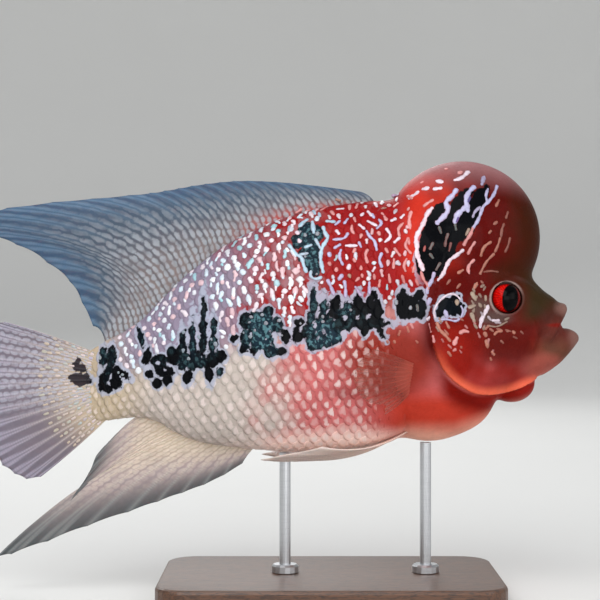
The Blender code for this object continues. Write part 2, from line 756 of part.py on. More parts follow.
def build():
    """Makes every node of the fish and its stand."""
    clear_scene()
    fish, stand, tools = (collection_named(name) for name in ("flowerhorn_cichlid", "stand", "cutters"))
    tools.hide_render = True
    sides = (-1, 1)

    body = make_body(tools)
    body_grown = grown(body, GAP, tools)
    covers = [make_gill_cover(side, fish) for side in sides]
    eyes = [make_eye(side, fish) for side in sides]
    jaw, lip = make_jaw(fish), make_lip(fish)
    jaw_grown = grown(jaw, GAP, tools)
    covers_grown = [grown(cover, GAP, tools) for cover in covers]
    combine(lip, [jaw_grown], "DIFFERENCE")
    lip_grown = grown(lip, GAP, tools)

    hump = make_ellipsoid("nuchal_hump", HUMP_CENTRE, HUMP_RADII, fish, 32, 22)
    combine(hump, [body_grown], "DIFFERENCE")
    throat = make_ellipsoid("gill_membrane", THROAT_CENTRE, THROAT_RADII, fish, 20, 14)
    combine(throat, [body_grown, jaw_grown, *covers_grown], "DIFFERENCE")

    for side in sides:
        orbit = make_orbit(side, tools)
        combine(body, [orbit], "UNION")
        remove(orbit)
    cutters = [make_eye(side, tools, GAP) for side in sides]
    for side in sides:
        place = (NOSTRIL_X, side * flank(NOSTRIL_X, NOSTRIL_Z), NOSTRIL_Z)
        cutters.append(make_ellipsoid("nostril", place, (NOSTRIL_RADIUS,) * 3, tools, 10, 6))
    cutters.append(make_ellipsoid("mouth", MOUTH_CENTRE, MOUTH_RADII, tools, 20, 12))
    cutters += [make_ribbon("gill_opening", GILL_OPENING, tools), make_ribbon("tail_cut", TAIL_CUT, tools)]
    for cutter in [*cutters, jaw_grown, lip_grown, *covers_grown]:
        combine(body, [cutter], "DIFFERENCE", largest=False)
    stalk, trunk, head = split_surfaces(body, ("tail_stalk", "trunk", "head"), fish)

    fins = [make_dorsal_fin(fish), make_tail_fin(fish), make_anal_fin(fish)]
    fins += [make_pectoral_fin(side, fish) for side in sides]
    fins += [make_pelvic_fin(side, fish) for side in sides]
    for fin in fins:
        combine(fin, [body_grown], "DIFFERENCE")

    base = make_base(stand)
    rods = [make_rod(name, x, stand) for name, x in ROD_PLACES.items()]
    for rod in rods:
        combine(rod, [body_grown], "DIFFERENCE")

    skin = material_named("skin", (0.62, 0.16, 0.12), 0.35)
    lips = material_named("lip_skin", (0.62, 0.36, 0.30), 0.4)
    web = material_named("fin_web", (0.55, 0.52, 0.55), 0.4)
    eyeball = material_named("eyeball", (0.45, 0.02, 0.01), 0.1)
    steel = material_named("steel", (0.65, 0.66, 0.68), 0.25, 1.0)
    wood = material_named("base_wood", (0.07, 0.05, 0.04), 0.35)
    finish = {jaw: lips, lip: lips, base: wood}
    finish.update({part: skin for part in (stalk, trunk, head, hump, throat, *covers)})
    finish.update({part: web for part in fins})
    finish.update({part: eyeball for part in eyes})
    finish.update({part: steel for part in rods})
    for part, material in finish.items():
        part.data.materials.clear()
        part.data.materials.append(material)
        part.data.shade_smooth()
        part.data.set_sharp_from_angle(angle=math.radians(40.0))
    remove(*list(tools.objects))


build()
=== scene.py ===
"""The looks of a life-size flowerhorn cichlid on its display stand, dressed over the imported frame.

Sizes are millimetres in the frame of the solids: the head is towards +X, +Z is up, and the fish's right side,
which faces the camera, is towards -Y. MM turns them into metres where a mesh is made.
"""
import logging
import math
from dataclasses import dataclass, field, replace
from enum import Enum
from typing import Callable, Mapping, Sequence, Union

import bmesh
import bpy
import numpy as np
from bpy.types import Material, Mesh, Node, NodeSocket, Object
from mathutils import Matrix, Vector
from mathutils.bvhtree import BVHTree


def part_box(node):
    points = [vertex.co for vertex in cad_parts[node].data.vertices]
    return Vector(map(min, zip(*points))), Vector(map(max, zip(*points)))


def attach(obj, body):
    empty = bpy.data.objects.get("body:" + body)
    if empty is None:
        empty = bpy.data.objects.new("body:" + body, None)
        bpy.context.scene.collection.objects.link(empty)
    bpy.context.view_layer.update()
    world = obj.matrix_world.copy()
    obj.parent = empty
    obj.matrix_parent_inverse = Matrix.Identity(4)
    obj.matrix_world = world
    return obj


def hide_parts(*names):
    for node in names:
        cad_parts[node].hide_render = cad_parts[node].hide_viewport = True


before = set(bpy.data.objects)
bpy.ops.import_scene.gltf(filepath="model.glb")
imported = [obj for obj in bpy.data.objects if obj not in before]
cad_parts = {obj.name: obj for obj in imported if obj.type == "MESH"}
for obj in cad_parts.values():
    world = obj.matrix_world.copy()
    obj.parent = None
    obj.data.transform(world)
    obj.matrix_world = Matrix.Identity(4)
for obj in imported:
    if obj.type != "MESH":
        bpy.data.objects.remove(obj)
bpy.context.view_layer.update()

MM = 0.001
SEED = 20
LOG = logging.getLogger("flowerhorn")

Array = np.ndarray
Faces = list[tuple[int, ...]]
Colour = tuple[float, float, float, float]
Curve = Sequence[tuple[float, float]]
Rows = tuple[Array, ...]


def tone(red: float, green: float, blue: float) -> Colour:
    """A colour given as it looks on a screen, from 0 to 255, in linear light."""
    parts = [value / 255 for value in (red, green, blue)]
    linear = [p / 12.92 if p <= 0.04045 else ((p + 0.055) / 1.055) ** 2.4 for p in parts]
    return (linear[0], linear[1], linear[2], 1)


def rise(low: float, high: float, value: Array) -> Array:
    """A soft step from 0 at low to 1 at high, where high may be under low."""
    share = np.clip((np.asarray(value, float) - low) / (high - low), 0, 1)
    return share * share * (3 - 2 * share)


def smooth_line(places: Array, steps: int) -> Array:
    """Points of a smooth curve through some places.

    Args:
        places: The places, one to a row.
        steps: The points from one place to the next.

    Returns:
        The curve's points, one to a row.
    """
    places = np.asarray(places, float)
    slopes = np.gradient(places, axis=0)
    share = np.linspace(0, 1, steps, endpoint=False)[:, None]
    ease = 3 * share**2 - 2 * share**3
    leave, arrive = share**3 - 2 * share**2 + share, share**3 - share**2
    runs = [
        places[i] * (1 - ease) + places[i + 1] * ease + slopes[i] * leave + slopes[i + 1] * arrive
        for i in range(len(places) - 1)
    ]
    return np.concatenate([*runs, places[-1:]])


def lengths(line: Array) -> Array:
    """How far along a line each of its places lies."""
    return np.concatenate([[0], np.cumsum(np.linalg.norm(np.diff(line, axis=0), axis=1))])


def rows_at(wanted: Array, places: Array, table: Array) -> Array:
    """The rows of a table at wanted places, read off between the places of its own rows."""
    return np.stack([np.interp(wanted, places, column) for column in table.T], axis=1)


def spread(places: Sequence[Sequence[float]], count: int) -> Array:
    """Points spaced evenly along a smooth curve through some places."""
    fine = smooth_line(np.array(places, float), 24)
    length = lengths(fine)
    return rows_at(np.linspace(0, length[-1], count), length, fine)


def line_distance(points: Array, line: Array) -> Array:
    """How far points lie from a line in the side view, in millimetres.

    Args:
        points: The points as (x, z) rows.
        line: The line's places as (x, z) rows.

    Returns:
        The distances, negative on the right of the way the line runs.
    """
    best = np.full(len(points), 1e9)
    signed = np.zeros(len(points))
    for start, end in zip(line[:-1], line[1:]):
        way = end - start
        share = np.clip(((points - start) @ way) / (way @ way), 0, 1)
        gap = points - start - share[:, None] * way
        far = np.hypot(gap[:, 0], gap[:, 1])
        side = np.sign(way[0] * gap[:, 1] - way[1] * gap[:, 0])
        closer = far < best
        best[closer] = far[closer]
        signed[closer] = (far * side)[closer]
    return signed


def ripple(points: Array, size: float, turn: float = 0) -> Array:
    """A cheap smooth irregular field over points, from about -1 to 1, with features of some size."""
    x, y, z = (points[:, axis] * (2 * math.pi / size) for axis in range(3))
    total = np.sin(x * 0.91 + z * 0.53 + turn) + np.sin(z * 1.07 - x * 0.42 + 2.1 + turn)
    total += np.sin(x * 1.71 - z * 0.77 + y * 0.6 + 4.2 + turn) + np.sin(z * 1.63 + x * 1.13 + 0.7 * turn)
    return total / 4 * 1.6


def swing(x: Array) -> Array:
    """How far the tail's bend carries the middle of the body to the side, at a place along X."""
    return 9 * (np.clip(-20 - np.asarray(x, float), 0, None) / 140) ** 2


# The point the fish is seen from, the eye's middle, and where that middle shows in the side view.
EYE_LINE = (-13.35, 700, 131.2)
EYE_MIDDLE = (75.6, 131.9)
EYE_SEEN = (78.7, 131.9)


def as_seen(points: Array) -> Array:
    """Where points show in the side view from 700 mm away, drawn on the fish's middle plane."""
    x, far, z = EYE_LINE
    larger = far / (far - np.abs(points[:, 1]))
    return np.stack([x + (points[:, 0] - x) * larger, points[:, 1], z + (points[:, 2] - z) * larger], axis=1)


def arithmetic(operation: str, turned: bool = False) -> Callable[..., "Wire"]:
    """A method that works out a number from a wire, and from another term where the operation has two.

    Args:
        operation: The operation of the Math node that it adds.
        turned: Whether the other term comes first.

    Returns:
        The method.
    """

    def method(self: "Wire", *others: "Term") -> "Wire":
        """The operation's result."""
        return self.coat.reckon(operation, *((*others, self) if turned else (self, *others)))

    return method


class Wire:
    """The value of one socket in a material, on which arithmetic adds its own nodes."""

    def __init__(self, coat: "Coat", socket: NodeSocket) -> None:
        """Holds a socket of a material that is being made."""
        self.coat = coat
        self.socket = socket

    __add__ = __radd__ = arithmetic("ADD")
    __mul__ = __rmul__ = arithmetic("MULTIPLY")
    __sub__, __rsub__ = arithmetic("SUBTRACT"), arithmetic("SUBTRACT", True)
    __truediv__, __pow__ = arithmetic("DIVIDE"), arithmetic("POWER")
    fraction, floor, wave = arithmetic("FRACT"), arithmetic("FLOOR"), arithmetic("SINE")
    most, least = arithmetic("MAXIMUM"), arithmetic("MINIMUM")

    def rise(self, low: float, high: float) -> "Wire":
        """A soft step of this, from 0 at low to 1 at high."""
        settings = {"interpolation_type": "SMOOTHSTEP"}
        inputs = {"Value": self, "From Min": min(low, high), "From Max": max(low, high)}
        inputs.update({"To Min": float(low > high), "To Max": float(low < high)})
        return self.coat.wire(self.coat.node("MapRange", settings, inputs), "Result")


Term = Union[Wire, float]


class Coat:
    """A Principled material under construction."""

    def __init__(self, name: str, **constants: object) -> None:
        """Starts a material.

        Args:
            name: The material's name.
            constants: Values for the shader's sockets that are the same all over, such as Coat_Weight.
        """
        self.material = bpy.data.materials.new(name)
        self.material.use_nodes = True
        self.nodes = self.material.node_tree.nodes
        self.links = self.material.node_tree.links
        self.shader = self.nodes["Principled BSDF"]
        for key, value in constants.items():
            self.shader.inputs[key.replace("_", " ")].default_value = value

    def node(
        self, kind: str, settings: Mapping[str, object] | None = None, inputs: Mapping | None = None
    ) -> Node:
        """Adds a node.

        Args:
            kind: The node's type, such as Math.
            settings: Its own settings, which are set first.
            inputs: Values or wires for its sockets, by name or number.

        Returns:
            The node.
        """
        made = self.nodes.new("ShaderNode" + kind)
        for key, value in (settings or {}).items():
            setattr(made, key, value)
        for key, value in (inputs or {}).items():
            self.feed(made.inputs[key], value)
        return made

    def feed(self, socket: NodeSocket, value: object) -> None:
        """Links a wire to a socket, or sets the socket's own value."""
        if isinstance(value, Wire):
            self.links.new(value.socket, socket)
        else:
            socket.default_value = value

    def wire(self, node: Node, output: Union[str, int] = 0) -> Wire:
        """One of a node's outputs."""
        return Wire(self, node.outputs[output])

    def reckon(self, operation: str, *terms: Term) -> Wire:
        """Works out numbers through a Math node."""
        inputs = dict(enumerate(terms))
        return self.wire(self.node("Math", {"operation": operation}, inputs))

    def attribute(self, name: str, output: str = "Fac") -> Wire:
        """A value that the mesh carries."""
        return self.wire(self.node("Attribute", {"attribute_name": name}), output)

    def place(self, stretch: tuple[float, float, float] = (1, 1, 1)) -> Wire:
        """The place on the object, stretched along its axes."""
        held = self.wire(self.node("TexCoord"), "Object")
        made = self.node("VectorMath", {"operation": "MULTIPLY"}, {0: held, 1: stretch})
        return self.wire(made)

    def noise(self, where: Wire, scale: float, detail: float = 3, roughness: float = 0.5) -> Wire:
        """Smooth noise from 0 to 1."""
        inputs = {"Vector": where, "Scale": scale, "Detail": detail, "Roughness": roughness}
        return self.wire(self.node("TexNoise", None, inputs), "Fac")

    def mix(self, share: Term, first: Union[Wire, Colour], second: Union[Wire, Colour]) -> Wire:
        """A colour between two."""
        inputs = {0: share, 6: first, 7: second}
        return self.wire(self.node("Mix", {"data_type": "RGBA"}, inputs), 2)

    def shade(self, colour: Wire, amount: Term) -> Wire:
        """A colour made darker or lighter by a number near 1."""
        grey = self.wire(self.node("CombineColor", None, {0: amount, 1: amount, 2: amount}))
        settings = {"data_type": "RGBA", "blend_type": "MULTIPLY"}
        return self.wire(self.node("Mix", settings, {0: 1, 6: colour, 7: grey}), 2)

    def finish(self, **values: object) -> Material:
        """Feeds the shader's sockets by name and hands back the material."""
        for key, value in values.items():
            self.feed(self.shader.inputs[key.replace("_", " ")], value)
        return self.material

    def bump(self, height: Wire, distance: float) -> Wire:
        """The surface's direction, tilted by a height."""
        return self.wire(self.node("Bump", None, {"Height": height, "Distance": distance}), "Normal")


def make_piece(name: str, points: Array, faces: Sequence[Sequence[int]]) -> Object:
    """A smooth-shaded mesh object from points in millimetres."""
    mesh = bpy.data.meshes.new(name)
    mesh.from_pydata((np.asarray(points, float) * MM).tolist(), [], faces)
    mesh.update()
    mesh.shade_smooth()
    made = bpy.data.objects.new(name, mesh)
    bpy.context.scene.collection.objects.link(made)
    return made


def carry(piece: Object, **tables: Array) -> None:
    """Stores a number, or a colour, for each point of a piece, under each name that is given."""
    for name, table in tables.items():
        values = np.asarray(table, np.float32)
        if values.ndim == 1:
            piece.data.attributes.new(name, "FLOAT", "POINT").data.foreach_set("value", values)
            continue
        full = np.concatenate([values[:, :3], np.ones((len(values), 1), np.float32)], axis=1)
        piece.data.attributes.new(name, "FLOAT_COLOR", "POINT").data.foreach_set("color", full.ravel())


def pulled(items: bpy.types.bpy_prop_collection, key: str, wide: int, kind: type = np.float32) -> Array:
    """What the items of a mesh hold under a key, one item to a row.

    Args:
        items: The mesh's points, edges or corners.
        key: The name of what they hold.
        wide: The numbers in each.
        kind: The kind of the numbers.

    Returns:
        The numbers.
    """
    flat = np.empty(len(items) * wide, kind)
    items.foreach_get(key, flat)
    return flat.reshape(-1, wide)


def points_of(mesh: Mesh) -> Array:
    """A mesh's points in millimetres."""
    return pulled(mesh.vertices, "co", 3).astype(float) / MM


def normals_of(mesh: Mesh) -> Array:
    """The directions in which a mesh's points face."""
    return pulled(mesh.vertex_normals, "vector", 3).astype(float)


# The order in which the corners of a plate's face are taken, for a face that looks up or down.
UPWARD, DOWNWARD = (0, 1, 2, 3), (3, 2, 1, 0)


def plate_faces(rows: int, wide: int, top: Sequence[int], below: Sequence[int]) -> Faces:
    """The faces of a closed plate: a grid of points on top, and the same grid below.

    Args:
        rows: The rows of the grid.
        wide: The points in each row.
        top: The order of the corners of a face of the top.
        below: The same for the underside, UPWARD or DOWNWARD.

    Returns:
        The faces of the top, the underside and the rim.
    """
    count = rows * wide
    made: Faces = []
    for a in (i * wide + j for i in range(rows - 1) for j in range(wide - 1)):
        corners = (a, a + 1, a + wide + 1, a + wide)
        made += [tuple(corners[k] for k in top), tuple(corners[k] + count for k in below)]
    rim = [(j, j + 1) for j in range(wide - 1)]
    rim += [((i + 1) * wide - 1, (i + 2) * wide - 1) for i in range(rows - 1)]
    rim += [(count - wide + j + 1, count - wide + j) for j in range(wide - 1)]
    rim += [((i + 1) * wide, i * wide) for i in range(rows - 1)]
    sides = [(b, a, a + count, b + count) for a, b in rim]
    return made + (sides if below == DOWNWARD else [face[::-1] for face in sides])


def show(piece: Object, slot: str, material: Material, *nodes: str) -> None:
    """Dresses a piece, has it ride on the frame and take the place of its nodes."""
    piece.data.materials.clear()
    piece.data.materials.append(material)
    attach(piece, "root")
    if nodes:
        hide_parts(*nodes)
    LOG.info("%s: %d faces", piece.name, len(piece.data.polygons))


class Side(Enum):
    """A side of the fish, by the sign of its Y."""

    RIGHT = -1
    LEFT = 1


@dataclass(frozen=True)
class Blotch:
    """A black mark, an oval seen from the side."""

    x: float
    z: float
    along: float
    across: float
    blue: float = 0
    lean: float = 0

    @classmethod
    def of(cls, row: Sequence[float]) -> "Blotch":
        """The mark that a row of a table describes."""
        return cls(*(value / 10 for value in row[:4]), *row[4:])

    def outside(self, points: Array) -> Array:
        """How far points lie outside the oval, in millimetres, and less than 0 within."""
        cos, sin = math.cos(math.radians(self.lean)), math.sin(math.radians(self.lean))
        dx, dz = points[:, 0] - self.x, points[:, 2] - self.z
        a, b = dx * cos + dz * sin, dz * cos - dx * sin
        reach = np.hypot(a / self.along, b / self.across)
        return (reach - 1) * min(self.along, self.across)


# The black marks and the gaps in them, as ovals seen from the side: x, z, half length and half height in
# tenths of a millimetre, then blueness and lean in degrees where they aren't 0.
BLACK_MARKS = (
    (-1121, 956, 40, 22, 0.1), (-1133, 1018, 16, 22, 0.1), (-1113, 1007, 16, 12, 0.1),
    (-1010, 1058, 13, 31, 0.35), (-970, 1058, 14, 33, 0.2), (-979, 1014, 9, 18), (-1010, 952, 15, 31),
    (-999, 920, 22, 14, 0, -20), (-948, 996, 15, 20), (-952, 947, 20, 27), (-919, 983, 20, 10, 0, -40),
    (-988, 987, 8, 27, 0.2, -15), (-814, 1058, 13, 24, 0, -10), (-839, 1143, 6, 22, 0.3, 15),
    (-757, 1036, 29, 27, 0.1), (-803, 983, 11, 12), (-734, 992, 31, 18), (-765, 943, 16, 17),
    (-721, 958, 14, 18), (-690, 1058, 27, 27), (-654, 1134, 8, 27, 0.2), (-652, 1090, 12, 22, 0.2),
    (-645, 1036, 29, 31, 0.3), (-630, 974, 12, 22, 0, -15), (-610, 1112, 8, 58, 0.6),
    (-583, 1041, 31, 24, 0.3), (-563, 1147, 10, 58, 0.15), (-561, 1250, 6, 36, 0.2),
    (-518, 1107, 13, 45, 0.35), (-516, 1183, 8, 27, 0.5), (-525, 1045, 27, 27), (-538, 983, 10, 24, 0, 10),
    (-483, 1063, 20, 20), (-490, 996, 8, 10, 0.5), (-703, 1090, 11, 12, 0.2), (-427, 1143, 9, 10),
    (-369, 1219, 27, 31, 0.15), (-303, 1201, 53, 53, 0.95), (-276, 1259, 18, 19, 0.3),
    (-236, 1201, 22, 27, 0.5), (-196, 1152, 15, 22, 0, 20), (-369, 1143, 20, 36, 0.5), (-383, 1094, 12, 15),
    (-336, 1094, 14, 18), (-303, 1134, 45, 40, 1), (-258, 1085, 22, 24, 0.5), (-209, 1081, 14, 13),
    (-329, 1241, 27, 13, 0.3), (-133, 1210, 16, 13), (-142, 1161, 19, 27), (-111, 1170, 12, 20, 0.1, 20),
    (-85, 1178, 18, 22, 0.8), (-73, 1308, 9, 40, 0.55), (-80, 1232, 14, 20, 0.6), (-27, 1272, 10, 29, 0.7),
    (-27, 1236, 15, 16, 0.3), (-45, 1187, 36, 33, 1), (0, 1201, 18, 20, 0.7), (-53, 1125, 22, 27, 1),
    (-9, 1130, 27, 20, 1), (27, 1143, 22, 18, 1, 20), (-85, 1125, 13, 22, 1), (4, 1165, 27, 18, 1),
    (22, 1276, 19, 38, 0, -5), (33, 1314, 10, 13), (45, 1205, 19, 27, 0.1), (78, 1272, 11, 20, 0.7),
    (58, 1256, 20, 7, 0.6), (98, 1210, 20, 20, 0.2), (71, 1192, 22, 10, 0.2), (93, 1245, 9, 18, 0.5),
    (120, 1285, 14, 38, 0, -8), (160, 1276, 40, 18), (196, 1336, 12, 13), (182, 1308, 11, 20, 0, -20),
    (209, 1259, 20, 45), (169, 1205, 62, 15, 0.05), (147, 1236, 11, 22, 0.1), (154, 1178, 11, 18),
    (209, 1214, 27, 20), (225, 1174, 8, 20, 0, 30), (325, 1290, 24, 53), (360, 1268, 31, 36),
    (392, 1330, 13, 20, 0, -30), (365, 1308, 13, 13, 0, -40), (405, 1276, 18, 33, 0.1),
    (494, 1272, 12, 25, 0, -10), (521, 1299, 22, 18, 0.1), (556, 1316, 15, 11, 0, 20), (574, 1272, 14, 20),
    (552, 1259, 19, 11, 0, 10), (538, 1285, 18, 18, 0.1), (532, 1274, 46, 26, 0.1, 8),
    (-104, 1620, 32, 34, 0.8), (-82, 1520, 34, 82, 0.75), (-132, 1574, 34, 26, 0.8), (-68, 1454, 23, 34, 0.7),
    (-60, 1606, 24, 30, 0.8), (-120, 1510, 16, 22, 0.7), (476, 1540, 136, 76, 0, 68),
    (468, 1664, 84, 30, 0, 60), (564, 1706, 100, 34, 0, 60), (652, 1736, 76, 30, 0, 58),
    (594, 1650, 86, 48, 0, 52),
)
BLACK_GAPS = (
    (-1117, 1027, 8, 10), (-992, 938, 8, 6), (-1019, 1009, 11, 15), (-765, 1032, 9, 9), (-734, 1003, 9, 9),
    (-636, 1007, 9, 11), (-676, 1023, 6, 8), (-574, 1058, 6, 7), (-547, 1081, 5, 22), (-590, 1090, 6, 22),
    (-632, 1112, 5, 18), (-507, 1090, 4, 13), (-352, 1161, 8, 8), (-352, 1107, 8, 8), (-303, 1087, 8, 7),
    (-263, 1114, 7, 7), (-236, 1103, 7, 10), (-271, 1174, 7, 8), (-329, 1196, 6, 7), (-298, 1223, 6, 7),
    (-307, 1156, 5, 8), (-285, 1138, 5, 7), (-369, 1178, 5, 6), (-218, 1178, 5, 7), (-129, 1178, 6, 10),
    (-67, 1201, 8, 15), (-27, 1174, 7, 16), (-53, 1143, 7, 14), (9, 1116, 7, 5), (-13, 1156, 5, 7),
    (-62, 1170, 4, 6), (-22, 1134, 6, 5), (67, 1234, 10, 13), (125, 1232, 9, 11), (171, 1236, 10, 14),
    (388, 1276, 4, 16), (516, 1250, 9, 12), (567, 1299, 10, 12),
)


@dataclass(frozen=True)
class Colouring:
    """The colours of the fish's skin and where each lies, as seen in the side view."""

    cream: Colour = tone(186, 174, 166)
    tan: Colour = tone(182, 164, 140)
    mauve: Colour = tone(140, 128, 147)
    red: Colour = tone(146, 24, 26)
    pink: Colour = tone(194, 104, 104)
    # The belly's pale lower edge, painted lighter still to stand in for light from below.
    belly_line_tint_and_light: Colour = tone(255, 226, 214)
    breast: Colour = tone(182, 56, 40)
    flank_shade: Colour = tone(142, 48, 38)
    shadow: Colour = tone(116, 14, 6)
    head: Colour = tone(84, 9, 6)
    crest: Colour = tone(204, 52, 36)
    cheek: Colour = tone(88, 17, 11)
    cover: Colour = tone(136, 24, 15)
    rim: Colour = tone(224, 100, 72)
    # The pale throat, painted lighter still to stand in for light from below.
    pale_rim_tint_and_light: Colour = tone(246, 178, 154)
    snout: Colour = tone(50, 36, 17)
    # The hump's front: its own olive-brown, darkened further as painted shade.
    brow_tint_and_shade: Colour = tone(58, 22, 6)
    # The hump's pale translucent rim, with painted light where its top faces up.
    crown_rim_and_top_light: Colour = tone(150, 104, 106)
    lips: Colour = tone(74, 36, 29)
    ash: Colour = tone(84, 62, 58)
    orbit: Colour = tone(158, 138, 132)
    # A dark ring round the eye: painted shade in the socket where the eyeball sits.
    socket: Colour = tone(44, 16, 11)
    lip_red: Colour = tone(98, 42, 35)
    lip_olive: Colour = tone(108, 70, 52)
    lip_pink: Colour = tone(154, 76, 66)
    lip_edge: Colour = tone(132, 98, 90)
    band: Curve = ((-112, 97), (-97, 98.7), (-63, 106), (-29, 116.5), (5, 121.5), (36.5, 129), (60, 129))
    gill_edge: Curve = (
        (44, 131), (42, 122), (43.8, 111), (49.5, 99.2), (61.5, 91), (75, 90.5), (86, 94), (95, 99),
    )
    blotches: tuple[Blotch, ...] = tuple(map(Blotch.of, BLACK_MARKS))
    holes: tuple[Blotch, ...] = tuple(map(Blotch.of, BLACK_GAPS))

    def base(self, points: Array, normals: Array) -> Array:
        """The skin's colour under its scales and pearls.

        Args:
            points: Places on the skin in millimetres.
            normals: The directions that the skin faces there, which set the painted light on the hump's top.

        Returns:
            Linear colours, one to a row.
        """
        x, _, z = as_seen(points).T
        wobble = ripple(points, 38)
        fine = ripple(points, 11, 0.6)
        above = z - np.interp(x, *np.array(self.band).T) + 2 * wobble
        upper, lower = rise(-9, 6, above), rise(4, -8, above)
        behind_fin = np.hypot((x - 28) / 24, (z - 104) / 20)
        washed = 0.45 * rise(-0.3, 0.5, ripple(points, 8, 2)) * rise(4, -14, x)
        layers = (
            (self.tan, rise(-74, -98, x)),
            (self.mauve, upper * rise(30, -50, x) * rise(-108, -84, x)),
            (self.red, upper * rise(-58, -16, x + 9 * wobble + 6 * fine) * (1 - washed)),
            (self.pink, lower * rise(-38, -8, x + 7 * wobble + 4 * fine)),
            (self.flank_shade, lower * rise(1.2, 0.5, behind_fin)),
            (self.shadow, rise(1, 0.2, np.hypot((x - 16) / 26, (z - 90) / 5)) * 0.45),
            (self.breast, rise(8, 34, x) * rise(96, 84, z)),
            # The pale belly edge: its own colour plus painted light in place of light from below.
            (self.belly_line_tint_and_light, rise(79, 68, z + 0.12 * np.abs(x - 10)) * rise(-70, -20, x) * 0.9),
            (self.head, rise(36, 46, x) * rise(98, 112, z)),
        )
        colour = np.tile(np.array(self.cream[:3]), (len(points), 1))
        for layer, share in (*layers, *self.face_layers(points, normals)):
            share = np.clip(share, 0, 1)[:, None]
            colour = colour * (1 - share) + np.array(layer[:3]) * share
        return colour

    def face_layers(self, points: Array, normals: Array) -> list[tuple[Colour, Array]]:
        """The colours of the head, in the order they are laid, each with its share."""
        x, _, z = as_seen(points).T
        wobble = ripple(points, 16)

        def patch(cx: float, cz: float, rx: float, rz: float) -> Array:
            """A soft oval in the side view."""
            return rise(1.25, 0.35, np.hypot((x - cx) / rx, (z - cz) / rz) + 0.08 * wobble)

        side = points[:, [0, 2]]
        edge = line_distance(side, smooth_line(np.array(self.gill_edge), 6))
        on_head = (edge > 0) * rise(34, 44, x)
        near_edge = rise(5, 0.3, edge) * on_head * rise(114, 94, z)
        under_edge = rise(-0.2, -1.6, edge) * rise(-12, -4, edge)
        under_edge *= rise(44, 54, x) * rise(104, 96, z)
        hump = rise(136, 146, z) * rise(28, 40, x)
        ahead, over = x - EYE_SEEN[0], z - EYE_SEEN[1]
        ring = np.hypot(ahead, over)
        behind_eye = rise(-1.1, 0.5, (over - ahead) / (ring + 1e-6))
        snout = rise(80, 92, x) * rise(118, 126, z - 0.2 * (x - 90)) * rise(150, 138, z)
        crest = rise(66, 34, x + 3 * wobble) * rise(136, 160, z + 0.4 * (60 - x))
        throat = rise(79, 67.5, z - 0.35 * np.clip(x - 55, 0, None)) * rise(28, 36, x)
        return [
            (self.crest, hump * crest),
            (self.cover, patch(55, 106, 16, 20) * on_head),
            (self.cheek, patch(83, 113, 23, 21) * (edge > 0) * 0.9),
            (self.shadow, patch(67, 112, 3.4, 15) * 0.4),
            (self.shadow, patch(92, 110.5, 3.4, 9) * 0.5),
            (self.cover, patch(74, 96, 22, 9) * (edge > 0) * 0.8),
            (self.rim, near_edge),
            (self.shadow, under_edge),
            # The hump's front in olive-brown, partly its own colour and partly painted shade.
            (self.brow_tint_and_shade, hump * rise(72, 90, x + 1.5 * wobble)),
            (self.brow_tint_and_shade, patch(82, 143, 14, 8) * 0.75),
            # Painted light on the hump where the skin faces upward, over its pale translucent rim.
            (self.crown_rim_and_top_light, hump * rise(0.35, 0.9, normals[:, 2]) * 0.9),
            (self.ash, patch(67, 127.6, 6, 6) * 0.9),
            (self.ash, patch(73.6, 123.4, 9, 3.8)),
            (self.snout, snout),
            (self.orbit, rise(8, 7.6, ring) * (0.1 + 0.7 * behind_eye)),
            # Painted shade: a dark ring in the socket round the eyeball.
            (self.socket, rise(7, 6.7, ring)),
            (self.lips, rise(88, 99, x - 0.25 * np.abs(z - 116) + wobble) * rise(134, 124, z)),
            (self.lip_red, patch(102.5, 115, 10.5, 8) * 0.7),
            (self.lip_olive, patch(99.5, 107, 11, 8) * 0.5),
            (self.lip_pink, patch(95, 101.4, 11, 7) * 0.8),
            (self.lip_edge, rise(104, 109, x + 0.2 * (z - 115)) * rise(100, 105, z) * 0.7),
            (self.lip_edge, patch(104.5, 128, 5, 4) * 0.6),
            (self.shadow, patch(102, 120, 6.5, 1) * 0.8),
            (self.cover, patch(82, 90, 16, 10) * (edge < 0)),
            (self.rim, rise(88, 84, z) * rise(74, 78, x) * (edge < 0) * 0.35),
            # The pale throat: its own colour plus painted light in place of light from below.
            (self.pale_rim_tint_and_light, throat * 0.95),
        ]

    def outside_black(self, points: Array) -> Array:
        """How far points lie outside the black marks, in millimetres, with ragged edges."""
        seen = as_seen(points)
        ragged = 0.3 * ripple(seen, 6.5) + 0.3 * ripple(seen, 3.1, 1.3)
        marks = np.min([mark.outside(seen) for mark in self.blotches], axis=0) - 0.75 + ragged
        holes = np.min([hole.outside(seen) for hole in self.holes], axis=0) + 0.15 + 0.4 * ragged
        return np.maximum(marks, -holes)

    def ringed(self, points: Array) -> Array:
        """How strong the pale outline of the black marks is, which pearly lines stand in for on the head."""
        x, _, z = as_seen(points).T
        head = rise(136, 140, z) * rise(36, 42, x)
        back = rise(139, 142, z) * rise(8, 2, x) * rise(-22, -18, x)
        return 1 - np.maximum(head, back)

    def blueness(self, points: Array) -> Array:
        """How blue-green the black marks are at some points."""
        total = np.zeros(len(points))
        seen = as_seen(points)
        for mark in self.blotches:
            total = np.maximum(total, mark.blue * rise(1.2, -1, mark.outside(seen)))
        return total


@dataclass(frozen=True)
class Fold:
    """A crease or ridge in the skin along a line seen from the side."""

    line: Curve
    height: float
    width: float
    step: float = 0

    def lift(self, side: Array) -> Array:
        """How far the fold moves the skin out at places seen from the side.

        Args:
            side: The places as (x, z) rows.

        Returns:
            The moves in millimetres. A step raises the left of the way that the line runs.
        """
        line = smooth_line(np.array(self.line), 6)
        far = line_distance(side, line)
        ends = np.minimum(np.hypot(*(side - line[0]).T), np.hypot(*(side - line[-1]).T))
        fade = rise(0, 8 if self.step else 5, ends)
        crease = self.height * np.exp(-((far / self.width) ** 2)) * fade
        if not self.step:
            return crease
        behind = rise(-0.45, 0.45, far) * np.exp(-np.clip(far, 0, None) / 9)
        return crease * (far < 0) + self.step * behind * fade


